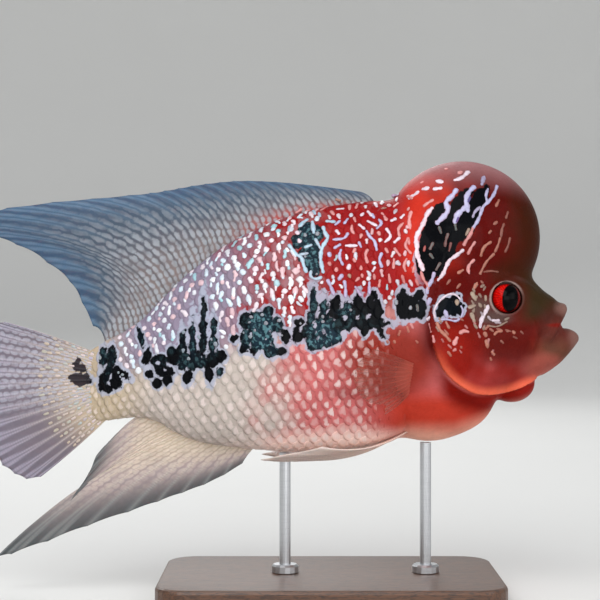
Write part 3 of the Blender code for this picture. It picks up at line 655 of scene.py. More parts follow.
@dataclass
class Skin:
    """One closed skin in place of the solids of flesh, with the folds of the head."""

    colouring: Colouring
    voxel: float = 0.62
    swell: float = 0.34
    inset: float = 0.62
    rounds: int = 70
    flesh: tuple[str, ...] = (
        "head", "nuchal_hump", "trunk", "tail_stalk", "gill_cover_left", "gill_cover_right", "gill_membrane",
        "lower_jaw", "upper_lip",
    )
    folds: tuple[Fold, ...] = (
        Fold(Colouring.gill_edge, -1.6, 2.2, 1.6),
        Fold(((62, 123.5), (65.8, 115.6), (67.4, 106.7), (69.5, 98.5)), -0.55, 1.5),
        Fold(((33, 67), (32.2, 78), (31.4, 90)), -0.9, 1.8),
        Fold(((34, 103.5), (33, 97), (32, 90.5)), 0.9, 1.6),
        Fold(((37, 104), (36.4, 107.5)), -0.9, 1),
        Fold(((94, 119), (91, 112), (88.5, 105)), -1.1, 1.6),
        Fold(((24, 90), (34, 91), (46, 93.5)), -0.5, 2.6),
        Fold(((71, 121), (80, 117.6), (89, 119.4)), -0.35, 1.2),
        Fold(((76, 145), (86, 141), (94, 135.5)), -0.5, 1.6),
        Fold(((86, 128), (91, 121), (92.5, 113)), -0.4, 1.4),
    )
    points: Array = field(init=False)
    piece: Object = field(init=False)
    tree: BVHTree = field(init=False)

    def build(self) -> None:
        """Makes the skin's mesh from the solids, smooths it and presses in its folds."""
        mesh = self.remeshed()
        points = self.smoothed(points_of(mesh), pulled(mesh.edges, "vertices", 2, np.int32))
        faces = [tuple(face.vertices) for face in mesh.polygons]
        bpy.data.meshes.remove(mesh)
        self.piece = make_piece("skin", points, faces)
        normals = normals_of(self.piece.data)
        side = points[:, [0, 2]]
        lift = sum(fold.lift(side) for fold in self.folds) * rise(0.1, 0.5, np.abs(normals[:, 1]))
        self.points = points + normals * (lift - self.inset)[:, None]
        self.piece.data.vertices.foreach_set("co", (self.points * MM).ravel().astype(np.float32))
        self.piece.data.update()
        self.tree = BVHTree.FromPolygons([Vector(p) for p in self.points], faces)
        carry(
            self.piece,
            tint=self.colouring.base(self.points, normals_of(self.piece.data)),
            black=self.colouring.outside_black(self.points),
            blue=self.colouring.blueness(self.points),
            ring=self.colouring.ringed(self.points),
        )

    def remeshed(self) -> Mesh:
        """The solids of flesh swollen until they meet, as one even mesh."""
        joined = bmesh.new()
        for name in self.flesh:
            part = bmesh.new()
            part.from_mesh(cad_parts[name].data)
            bmesh.ops.remove_doubles(part, verts=part.verts, dist=1e-6)
            part.normal_update()
            for vertex in part.verts:
                vertex.co += vertex.normal * self.swell * MM
            held = bpy.data.meshes.new("held")
            part.to_mesh(held)
            part.free()
            joined.from_mesh(held)
            bpy.data.meshes.remove(held)
        mesh = bpy.data.meshes.new("joined")
        joined.to_mesh(mesh)
        joined.free()
        helper = bpy.data.objects.new("joined", mesh)
        bpy.context.scene.collection.objects.link(helper)
        remesh = helper.modifiers.new("remesh", "REMESH")
        remesh.mode = "VOXEL"
        remesh.voxel_size = self.voxel * MM
        graph = bpy.context.evaluated_depsgraph_get()
        made = bpy.data.meshes.new_from_object(helper.evaluated_get(graph))
        bpy.data.objects.remove(helper)
        bpy.data.meshes.remove(mesh)
        return largest_surface(made)

    def smoothed(self, points: Array, edges: Array) -> Array:
        """The points after rounds of smoothing.

        Args:
            points: The points in millimetres.
            edges: The points that each edge joins, one edge to a row.

        Returns:
            The points, where the mouth, the rings of the eyes and the throat have moved least.
        """
        x, z = points[:, 0], points[:, 2]
        eye = np.hypot(x - EYE_MIDDLE[0], z - EYE_MIDDLE[1])
        soft = 0.56 * rise(9, 15, eye) + 0.09
        soft *= 1 - 0.86 * rise(86, 94, x) * rise(138, 130, z)
        soft *= 1 - 0.7 * rise(12, 6, np.hypot((x - 82) * 0.8, z - 90))
        count = len(points)
        first, second = edges.T
        degree = np.bincount(edges.ravel(), minlength=count).astype(float)
        for _ in range(self.rounds):
            total = np.stack([
                np.bincount(first, column[second], count) + np.bincount(second, column[first], count)
                for column in points.T
            ], axis=1)
            points = points + soft[:, None] * (total / degree[:, None] - points)
        middle = swing(points[:, 0])
        points[:, 1] = middle + (points[:, 1] - middle) * (1 - 0.72 * rise(-97, -108, points[:, 0]))
        return points

    def nearest(self, place: Array) -> tuple[Array, Array]:
        """The point of the skin nearest to a place, and the way it faces."""
        found, normal, _, _ = self.tree.find_nearest(Vector(place))
        return np.array(found), np.array(normal)

    def under(self, spots: Array) -> tuple[Array, Array]:
        """The points of the skin nearest to some places, and the ways it faces there, one to a row."""
        places, facing = zip(*(self.nearest(spot) for spot in spots))
        return np.array(places), np.array(facing)

    def dress(self) -> None:
        """Paints the skin and puts it in place of the flesh."""
        show(self.piece, "skin", SkinPaint().material(), *self.flesh)


def largest_surface(mesh: Mesh) -> Mesh:
    """The mesh with only its largest connected surface."""
    first, second = pulled(mesh.edges, "vertices", 2, np.int32).T
    label = np.arange(len(mesh.vertices))
    while True:
        low = np.minimum(label[first], label[second])
        fresh = label.copy()
        np.minimum.at(fresh, first, low)
        np.minimum.at(fresh, second, low)
        fresh = fresh[fresh]
        if np.array_equal(fresh, label):
            break
        label = fresh
    names, sizes = np.unique(label, return_counts=True)
    if len(names) == 1:
        return mesh
    keep = names[np.argmax(sizes)]
    shape = bmesh.new()
    shape.from_mesh(mesh)
    shape.verts.ensure_lookup_table()
    loose = [shape.verts[i] for i in np.flatnonzero(label != keep)]
    bmesh.ops.delete(shape, geom=loose, context="VERTS")
    shape.to_mesh(mesh)
    shape.free()
    return mesh


@dataclass(frozen=True)
class SkinPaint:
    """Wet skin: even colours with fine mottling, black marks and their pale outlines."""

    black: Colour = tone(4, 5, 9)
    blue: Colour = tone(26, 44, 56)
    outline: Colour = tone(166, 170, 188)

    def marked(self, coat: Coat, base: Wire, edge: Wire) -> Wire:
        """A colour with the black marks and their outlines laid over it.

        Args:
            coat: The material.
            base: The colour.
            edge: How far the surface lies outside the black marks, in millimetres.

        Returns:
            The marked colour.
        """
        dark = coat.mix(coat.attribute("blue"), self.black, self.blue)
        ring = edge.rise(1.3, 0.85) * coat.attribute("ring")
        return coat.mix(edge.rise(0.22, -0.22), coat.mix(ring * 0.85, base, self.outline), dark)

    def material(self) -> Material:
        """The skin's material."""
        glaze = {"Coat_Weight": 0.045, "Coat_Roughness": 0.1, "Specular_IOR_Level": 0.03}
        depth = {"Subsurface_Weight": 0.04, "Subsurface_Scale": 0.002, "Subsurface_Radius": (1, 0.3, 0.2)}
        coat = Coat("fish_skin", **glaze, **depth)
        where = coat.place()
        blotchy, fine = coat.noise(where, 90, 4), coat.noise(where, 900, 2)
        speck = coat.noise(where, 320, 3)
        base = coat.shade(coat.attribute("tint", "Color"), 0.62 + blotchy * 0.4 + speck * 0.2 + fine * 0.16)
        edge = coat.attribute("black") + (coat.noise(where, 520, 2) - 0.5) * 1.1
        roughness = 0.36 + fine * 0.16
        normal = coat.bump(fine + coat.noise(where, 2600, 2) * 0.5, 0.00022)
        return coat.finish(Base_Color=self.marked(coat, base, edge), Roughness=roughness, Normal=normal)


@dataclass(frozen=True)
class Seat:
    """Where one scale lies, its way back and across, its place in the flat layout, and its size."""

    centre: Array
    back: Array
    over: Array
    flat: tuple[float, float]
    size: float


@dataclass
class ScaleCoat:
    """The scales of one flank, overlapping plates in rows that run from the gills to the tail."""

    skin: Skin
    side: Side
    front: float = 43
    rear: float = -110
    row_gap: float = 4.3
    step: float = 5
    length: float = 8.2
    width: float = 6.3
    thick: float = 0.13
    rise_rear: float = 0.22
    across: int = 7
    along: int = 5
    patch: float = 0.0034
    flat_length: float = 160
    flat_girth: float = 190
    seats: list[Seat] = field(default_factory=list)
    axis: Curve = ((-110, 93.5), (-69.5, 104), (-22, 114), (20, 117.5), (62, 116))

    def girth(self) -> tuple[Array, Array]:
        """The skin's outline at places along the body, measured from its widest line.

        Returns:
            The places along X, and for each the points round it at equal steps of half a millimetre,
            from the belly to the back, as one array with the widest line in the middle.
        """
        places = np.arange(self.rear - 4, self.front + 8, 2)
        turns = np.radians(np.linspace(-90, 90, 73))
        reach = np.arange(-90, 90.5, 0.5)
        table = []
        for x in places:
            start = np.array([max(x, self.rear + 0.6), swing(x), np.interp(x, *np.array(self.axis).T)])
            ring = []
            for turn in turns:
                way = Vector((0, self.side.value * math.cos(turn), math.sin(turn)))
                found = self.skin.tree.ray_cast(Vector(start), way, 90)[0]
                ring.append(np.array(found) if found is not None else start)
            ring = np.array(ring)
            length = lengths(ring)
            length -= np.interp(0, turns, length)
            row = rows_at(reach, length, ring)
            row[(reach < length[0]) | (reach > length[-1])] = np.nan
            table.append(row)
        return places, np.array(table)

    def roots(self) -> tuple[Array, Array, Array]:
        """Where the scales grow.

        Returns:
            The places on the skin, the way back along each row, and for each root its place along and round
            the body in the flat layout and its scale's size.
        """
        places, table = self.girth()
        stride = 0.05
        fine = np.arange(self.rear, self.front, stride)
        pace = self.step * np.interp(fine, (self.rear, -60, self.front), (0.72, 0.96, 1))
        counted = np.cumsum(stride / pace)
        middle = table.shape[1] // 2
        found, ways, flat = [], [], []
        rows = int(90 / self.row_gap)
        for row in range(-rows, rows + 1):
            wanted = np.arange(0, counted[-1], 1) + 0.5 * (row % 2)
            for x in np.interp(wanted[wanted < counted[-1]], counted, fine):
                shrink = float(np.interp(x, (self.rear, -60, self.front), (0.74, 0.96, 1)))
                index = int(round(middle + row * self.row_gap * shrink * 2))
                if not 0 <= index < table.shape[1]:
                    continue
                here, back = (
                    np.array([np.interp(spot, places, table[:, index, axis]) for axis in range(3)])
                    for spot in (x, x - 2)
                )
                if np.isnan(here).any() or np.isnan(back).any() or not self.covered(here):
                    continue
                found.append(here)
                ways.append((back - here) / np.linalg.norm(back - here))
                around = 0.5 + row * self.row_gap * shrink / self.flat_girth
                flat.append(((x - self.rear) / self.flat_length, around, shrink))
        return np.array(found), np.array(ways), np.array(flat)

    def covered(self, place: Array) -> bool:
        """Whether scales grow at a place: not on the gill cover, the forehead or the smooth breast."""
        x, _, z = place
        edge = line_distance(np.array([[x, z]]), np.array(Colouring.gill_edge))[0]
        behind_gills = z > 131 or (x < 40 and edge < -2)
        return bool(behind_gills and self.scaled(place) > 0)

    def scaled(self, place: Array) -> float:
        """How far a place lies behind the line where the scales begin, in millimetres."""
        x, _, z = as_seen(place[None])[0]
        heights = (60, 84, 90, 106, 112, 131, 165, 186)
        return float(np.interp(z, heights, (32, 34, 36, 38, 41, 41, 38, 26)) - x)

    def build(self) -> Object:
        """Makes every scale of the flank as a thin closed plate that follows the skin."""
        rng = np.random.default_rng(SEED + self.side.value)
        roots, ways, flat = self.roots()
        share = np.linspace(0, 1, self.along + 1) ** 0.8
        cross = np.sin(np.linspace(-0.5, 0.5, self.across + 1) * math.pi)
        s, v = (grid.ravel() for grid in np.meshgrid(share, cross, indexing="ij"))
        margin = 0.62 + 0.38 * np.sqrt(np.clip(1 - 0.97 * v**2, 0, 1))
        local = np.stack([s, v * 0.5 + 0.5], axis=1)
        count = len(s)
        orders = (UPWARD, DOWNWARD) if self.side is Side.RIGHT else (DOWNWARD, UPWARD)
        template = plate_faces(self.along + 1, self.across + 1, *orders)
        points, faces, bases, held = [], [], [], []
        for number, (root, way, (u, w, shrink)) in enumerate(zip(roots, ways, flat)):
            _, normal = self.skin.nearest(root)
            over = np.cross(normal, way)
            over /= np.linalg.norm(over)
            size = shrink * rng.uniform(0.94, 1.06)
            reach = self.length * size
            back = (s * margin - 0.34) * reach
            sideways = v * 0.5 * self.width * size * (0.8 + 0.2 * rise(0, 0.35, s))
            spots = root + back[:, None] * way + sideways[:, None] * over
            centre = root + way * 0.2 * reach
            base, up = self.skin.under(spots)
            relief = 0.04 + 0.96 * float(rise(0.5, 26, self.scaled(centre)))
            lift = -0.24 + (self.rise_rear * relief + 0.24) * s - 0.1 * v**2
            lift += rng.uniform(-0.03, 0.03) * relief
            top = base + up * lift[:, None]
            points += [top, top - up * self.thick]
            faces += [tuple(corner + number * 2 * count for corner in face) for face in template]
            bases += [base, base]
            pearl = self.pearl(centre) * rng.uniform(0.3, 1.1)
            held.append((*centre, *normal, pearl, rng.uniform(-1, 1), rng.uniform(0, 1), u, w))
            self.seats.append(Seat(centre, way, over, (u, w), size))
        piece = make_piece("scales_" + self.side.name.lower(), np.concatenate(points), faces)
        whole, each = np.concatenate(bases), np.repeat(held, 2 * count, axis=0)
        middle, normals, (pearls, leans, dices) = each[:, :3], each[:, 3:6], each[:, 6:9].T
        colouring = self.skin.colouring
        tint = 0.55 * colouring.base(middle, normals) + 0.45 * colouring.base(whole, normals)
        carry(
            piece,
            tint=tint * (0.92 + 0.14 * dices)[:, None],
            black=colouring.outside_black(0.12 * middle + 0.88 * whole) + 0.15 * leans,
            blue=colouring.blueness(whole),
            ring=colouring.ringed(whole),
            pearl=pearls,
            lean=leans,
            dice=dices,
        )
        flat_plate = np.concatenate([local, local * (0.08, 1)]) * self.patch
        lay_uv(piece, "OFBake", np.tile(flat_plate, (len(held), 1)) + each[:, 9:])
        lay_uv(piece, "plate", np.tile(local, (2 * len(held), 1)))
        return piece

    def pearl(self, place: Array) -> float:
        """How strong the soft pearl painted on a scale of the lower flank is."""
        x, _, z = as_seen(place[None])[0]
        above = z - np.interp(x, *np.array(Colouring.band).T)
        strength = np.interp(x, (-80, -30, 4, 18, 30), (0.5, 0.6, 0.75, 0.62, 0))
        return float(rise(1, -7, above) * strength)


def lay_uv(piece: Object, name: str, places: Array) -> None:
    """Lays a piece out flat, from a place for each of its points."""
    corners = pulled(piece.data.loops, "vertex_index", 1, np.int32)[:, 0]
    layer = piece.data.uv_layers.new(name=name)
    layer.data.foreach_set("uv", places[corners].ravel().astype(np.float32))


@dataclass(frozen=True)
class ScalePaint:
    """Scales in the skin's own colours with painted shade at the front, each of the lower flank with a soft
    pearl on its hind part.
    """

    marks: SkinPaint = SkinPaint()
    pearl: Colour = tone(234, 216, 212)
    teal_pearl: Colour = tone(96, 140, 148)

    def material(self) -> Material:
        """The scales' material."""
        glaze = {"Coat_Weight": 0.05, "Coat_Roughness": 0.1, "Specular_IOR_Level": 0.05}
        coat = Coat("fish_scales", Subsurface_Weight=0.03, Subsurface_Scale=0.002, **glaze)
        plate = coat.wire(coat.node("UVMap", {"uv_map": "plate"}))
        split = coat.node("SeparateXYZ", None, {0: plate})
        back, over = coat.wire(split, 0), coat.wire(split, 1) * 2 - 1
        where = coat.place()
        wild, small = coat.noise(where, 340, 2), coat.noise(where, 560, 2)
        dice, lean = coat.attribute("dice"), coat.attribute("lean")
        slid = over + (dice - 0.5) * 0.5 + (wild - 0.5) * 1.3
        shifted = back - 0.7 + over * lean * 0.16 + slid * slid * 0.12 + (small - 0.5) * 0.34
        far = (shifted / (0.13 + dice * 0.06)) ** 2 + (slid / (0.66 + lean * 0.12)) ** 2
        mark = far.rise(1.7, 0.1) * coat.attribute("pearl")
        edge = coat.attribute("black") + (coat.noise(where, 520, 2) - 0.5) * 1.3
        dark = edge.rise(0.22, -0.22)
        mottled = coat.noise(where, 120, 4)
        # Painted shade: each scale is darker towards its front end, where the scale ahead overlaps it.
        tint_with_overlap_shade = coat.shade(coat.attribute("tint", "Color"), 0.76 + mottled * 0.34 + back * 0.12)
        base = coat.mix(mark * (1 - dark), tint_with_overlap_shade, self.pearl)
        base = self.marks.marked(coat, base, edge)
        spots = coat.noise(where, 620, 2).rise(0.46, 0.6) * dark * coat.attribute("blue")
        base = coat.mix(spots * 0.75, base, self.teal_pearl)
        normal = coat.bump((back * 60).wave() * 0.12 + small * 0.5, 0.00012)
        return coat.finish(Base_Color=base, Roughness=0.4 + small * 0.1 - mark * 0.08, Normal=normal)


@dataclass
class Eyes:
    """The two eyeballs: a red ring round a tall black pupil, under a clear glossy surface."""

    radius: float = 6.5
    depth: float = 5
    pupil_shift: float = 1.5
    pupil: tuple[float, float] = (3.5, 5.8)
    pupil_lean: float = 0.06

    def build(self) -> None:
        """Makes both eyes."""
        paint = self.paint()
        for side in Side:
            low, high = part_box("eye_" + side.name.lower())
            middle = np.array((low + high) / 2) / MM
            shape = bmesh.new()
            bmesh.ops.create_uvsphere(shape, u_segments=96, v_segments=64, radius=1)
            unit = np.array([v.co[:] for v in shape.verts])
            faces = [tuple(v.index for v in face.verts) for face in shape.faces]
            shape.free()
            x, y, z = unit.T
            points = np.stack([x * self.radius, z * self.depth, -y * self.radius], axis=1)
            bulge = 0.5 * rise(0.75, 0.2, np.hypot(points[:, 0], points[:, 2]) / self.radius)
            points[:, 1] += side.value * bulge * (points[:, 1] * side.value > 0)
            piece = make_piece("eye_ball_" + side.name.lower(), points + middle, faces)
            dx, dz = points[:, 0] - self.pupil_shift - self.pupil_lean * points[:, 2], points[:, 2]
            pupil = np.hypot(dx / self.pupil[0], dz / self.pupil[1])
            ring = np.hypot(points[:, 0], points[:, 2]) / self.radius
            carry(piece, pupil=pupil, ring=ring, turn=np.arctan2(dz, dx), ahead=points[:, 0] / self.radius)
            show(piece, "eyes", paint, "eye_" + side.name.lower())

    def paint(self) -> Material:
        """The eyes' material."""
        coat = Coat("fish_eye", Coat_Weight=0.035, Coat_Roughness=0.02, Specular_IOR_Level=0.05)
        pupil, ring, turn, ahead = (coat.attribute(name) for name in ("pupil", "ring", "turn", "ahead"))
        streak = coat.noise(coat.place(), 1400, 3) * 0.6 + (turn * 34).wave() * 0.1
        red = coat.mix(streak.rise(0.1, 0.6), tone(150, 4, 4), tone(222, 20, 10))
        iris = coat.mix(ahead.rise(0.1, 0.5) * 0.8, red, tone(58, 7, 7))
        iris = coat.mix(ring.rise(0.84, 0.96), iris, tone(84, 12, 10))
        colour = coat.mix(pupil.rise(1.08, 0.96), iris, tone(3, 3, 4))
        rimmed = coat.mix(ring.rise(0.95, 0.99), colour, tone(60, 42, 36))
        return coat.finish(Base_Color=rimmed, Roughness=0.14)


class Hue(Enum):
    """The colours of the pearly marks."""

    WHITE = tone(222, 206, 218)
    LILAC = tone(176, 174, 208)
    ROSE = tone(212, 142, 140)
    TAN = tone(172, 108, 88)
    BEIGE = tone(156, 136, 118)
    MOSS = tone(72, 86, 84)
    SKY = tone(164, 196, 214)
    DEEP = tone(56, 66, 136)


@dataclass(frozen=True)
class Stroke:
    """A pearly line, as seen in the side view."""

    line: Curve
    width: float
    hue: Hue
    faint: float = 0

    @classmethod
    def of(cls, row: Sequence[Union[str, float]]) -> "Stroke":
        """The line that a row of a table describes."""
        hue = next(each for each in Hue if each.name[0] == row[0])
        places = [value / 10 for value in row[3:]]
        return cls(tuple(zip(places[::2], places[1::2])), row[1], hue, row[2])


@dataclass
class PearlMesh:
    """Thin raised lines of pearly skin, gathered into one piece."""

    name: str
    colouring: Colouring
    height: float = 0.2
    sides: int = 8
    patch: float = 0.003
    points: list[Array] = field(default_factory=list)
    faces: Faces = field(default_factory=list)
    patches: list[Array] = field(default_factory=list)
    own: list[Array] = field(default_factory=list)
    count: int = 0

    def add(
        self, line: Rows, width: float, colour: Sequence[float], place: tuple[float, float], lumps: float
    ) -> None:
        """Adds one line with rounded ends.

        Args:
            line: Its middle on the skin and the ways the skin faces there, one to a row.
            width: Its width in millimetres.
            colour: Its colour, and how far that fades into the skin.
            place: Its corner in the flat layout.
            lumps: The start of its unevenness, as an angle.
        """
        middle, facing = line
        steps = len(middle)
        ahead = np.gradient(middle, axis=0)
        ahead /= np.linalg.norm(ahead, axis=1)[:, None] + 1e-9
        across = np.cross(facing, ahead)
        run = lengths(middle)
        to_end = np.minimum(run, run[-1] - run) / (0.62 * width)
        cap = np.sqrt(1 - np.clip(1 - to_end, 0, 1) ** 2)
        uneven = 1 + 0.2 * np.sin(run * 1.25 + lumps) + 0.14 * np.sin(run * 2.9 + 2 * lumps)
        fat = (cap * uneven * 0.5 * width + 0.04)[:, None]
        rings = []
        for turn in np.linspace(0, 2 * math.pi, self.sides, endpoint=False):
            lift = self.height * math.sin(turn) * np.clip(fat / 0.5, 0, 1)
            rings.append(middle + across * fat * math.cos(turn) + facing * lift)
        self.points.append(np.stack(rings, axis=1).reshape(-1, 3))
        self.faces += [tuple(corner + self.count for corner in face) for face in self.tube(steps)]
        self.count += steps * self.sides
        local = np.stack(np.meshgrid(np.linspace(0, 1, self.sides), np.linspace(0, 1, steps)), axis=-1)
        self.patches.append(local.reshape(-1, 2) * self.patch + place)
        own = np.tile(colour, (steps * self.sides, 1))
        turned = np.abs(np.cos(np.linspace(0, 2 * math.pi, self.sides, endpoint=False)))
        own[:, 3] += 0.5 * np.tile(turned**3, steps) * (1 - own[:, 3])
        self.own.append(own)

    def tube(self, steps: int) -> Faces:
        """The faces of one line with so many rings."""
        wide, count = self.sides, steps * self.sides
        pairs = [(i + j, i + (j + 1) % wide) for i in range(0, count - wide, wide) for j in range(wide)]
        made = [(a, a + wide, b + wide, b) for a, b in pairs]
        return [*made, tuple(range(wide)), tuple(range(count - 1, count - wide - 1, -1))]

    def build(self, material: Material) -> None:
        """Makes the piece and dresses it."""
        points = np.concatenate(self.points)
        own = np.concatenate(self.own)
        piece = make_piece(self.name, points, self.faces)
        tint = self.colouring.base(points, np.zeros_like(points))
        carry(piece, own=own[:, :3], faint=own[:, 3], tint=tint)
        lay_uv(piece, "OFBake", np.concatenate(self.patches))
        show(piece, "skin", material)


@dataclass(frozen=True)
class PearlPaint:
    """Pearly skin, cloudy and a little glossy."""

    def material(self) -> Material:
        """The pearly lines' material."""
        coat = Coat("pearl_marks", Coat_Weight=0.16, Coat_Roughness=0.16)
        where = coat.place()
        cloud = coat.noise(where, 700, 3)
        cool = coat.shade(coat.attribute("own", "Color"), 0.68 + cloud * 0.6)
        faint = coat.attribute("faint") + (coat.noise(where, 380, 2) - 0.5) * 0.3
        colour = coat.mix(faint.most(0).least(1), cool, coat.attribute("tint", "Color"))
        return coat.finish(Base_Color=colour, Roughness=0.34 + cloud * 0.1, Metallic=0.12 - cloud * 0.1)


# The pearly lines as seen from the side: the hue's first letter, the width, how faint, then x and z of each
# place in tenths of a millimetre.
FOREHEAD_LINES = (
    ("W", 2, 0, 454, 1721, 432, 1695, 418, 1659, 400, 1624, 383, 1588, 387, 1552, 387, 1517, 400, 1481, 414,
       1446), ("R", 1.2, 0.2, 405, 1437, 418, 1401, 436, 1374, 432, 1348),
    ("R", 1.4, 0, 418, 1730, 436, 1744, 458, 1757),
    ("W", 1.6, 0.1, 592, 1534, 565, 1512, 534, 1490, 516, 1459, 503, 1428, 481, 1401),
    ("L", 1.6, 0.1, 463, 1432, 454, 1401, 436, 1370, 432, 1343),
    ("L", 2.3, 0, 561, 1802, 543, 1775, 516, 1748, 525, 1717, 516, 1695, 494, 1672, 476, 1655),
    ("L", 2.1, 0, 641, 1815, 619, 1793, 605, 1761, 610, 1730, 614, 1708),
    ("D", 1.1, 0.2, 623, 1770, 614, 1748), ("L", 2.4, 0, 605, 1726, 579, 1704, 561, 1681, 556, 1659),
    ("D", 1.2, 0.1, 570, 1681, 561, 1659), ("M", 1.2, 0, 556, 1650, 561, 1624),
    ("L", 1.2, 0.1, 703, 1806, 694, 1775, 703, 1744),
    ("L", 1.4, 0.1, 743, 1819, 730, 1784, 708, 1753, 681, 1726, 668, 1690, 654, 1659, 636, 1632),
    ("R", 1.5, 0.2, 636, 1632, 623, 1601, 605, 1575, 596, 1557),
    ("L", 1.2, 0.3, 668, 1726, 645, 1704, 636, 1681), ("B", 1.2, 0.1, 619, 1628, 605, 1601),
    ("M", 1.3, 0, 485, 1637, 494, 1610), ("M", 1.2, 0.2, 525, 1606, 516, 1579, 512, 1552),
    ("M", 1.3, 0, 458, 1566, 445, 1539), ("M", 1.4, 0, 445, 1517, 458, 1499),
    ("M", 1.1, 0.1, 490, 1477, 472, 1446), ("M", 1, 0.5, 538, 1566, 530, 1530),
    ("M", 0.9, 0.5, 423, 1552, 418, 1530), ("W", 2, 0, 476, 1842, 498, 1837),
    ("W", 2, 0, 414, 1806, 436, 1810), ("W", 1.9, 0, 463, 1806, 494, 1810),
    ("W", 1.8, 0, 352, 1766, 374, 1779, 392, 1793), ("W", 1.9, 0, 556, 1846, 579, 1853, 601, 1868, 614, 1882),
    ("R", 1.8, 0, 574, 1877, 583, 1882), ("R", 1.3, 0.2, 512, 1895, 521, 1895),
    ("L", 1.8, 0.3, 685, 1859, 676, 1828), ("R", 1.7, 0, 360, 1704, 352, 1668, 356, 1632),
    ("R", 1.3, 0.1, 347, 1588, 352, 1561), ("R", 1.3, 0.1, 374, 1459, 369, 1437),
    ("R", 1.1, 0.4, 383, 1401, 392, 1379), ("R", 1.2, 0.4, 405, 1833, 414, 1837),
    ("T", 1.2, 0.3, 752, 1757, 739, 1730), ("T", 1.2, 0.4, 730, 1650, 743, 1659),
    ("T", 1.3, 0.3, 708, 1610, 716, 1619), ("T", 1.2, 0.6, 774, 1650, 765, 1624, 761, 1592),
    ("T", 1.1, 0.3, 757, 1588, 748, 1557, 734, 1526),
    ("T", 1.3, 0.1, 716, 1570, 690, 1552, 676, 1526, 672, 1508),
    ("R", 1.2, 0.1, 645, 1570, 627, 1543, 614, 1517),
    ("T", 1.1, 0.2, 730, 1517, 703, 1490, 685, 1463, 668, 1428),
    ("R", 1.4, 0.1, 641, 1490, 623, 1472, 614, 1450, 619, 1432), ("T", 1.3, 0.1, 592, 1446, 570, 1432),
    ("T", 0.8, 0.6, 685, 1437, 716, 1441, 748, 1437), ("T", 1.3, 0.1, 654, 1388, 641, 1365),
    ("T", 1.1, 0.6, 792, 1704, 783, 1677), ("T", 1, 0.6, 801, 1588, 792, 1552, 779, 1526),
    ("T", 1.1, 0.5, 534, 1401, 521, 1383), ("T", 1.1, 0.4, 579, 1383, 565, 1365),
)
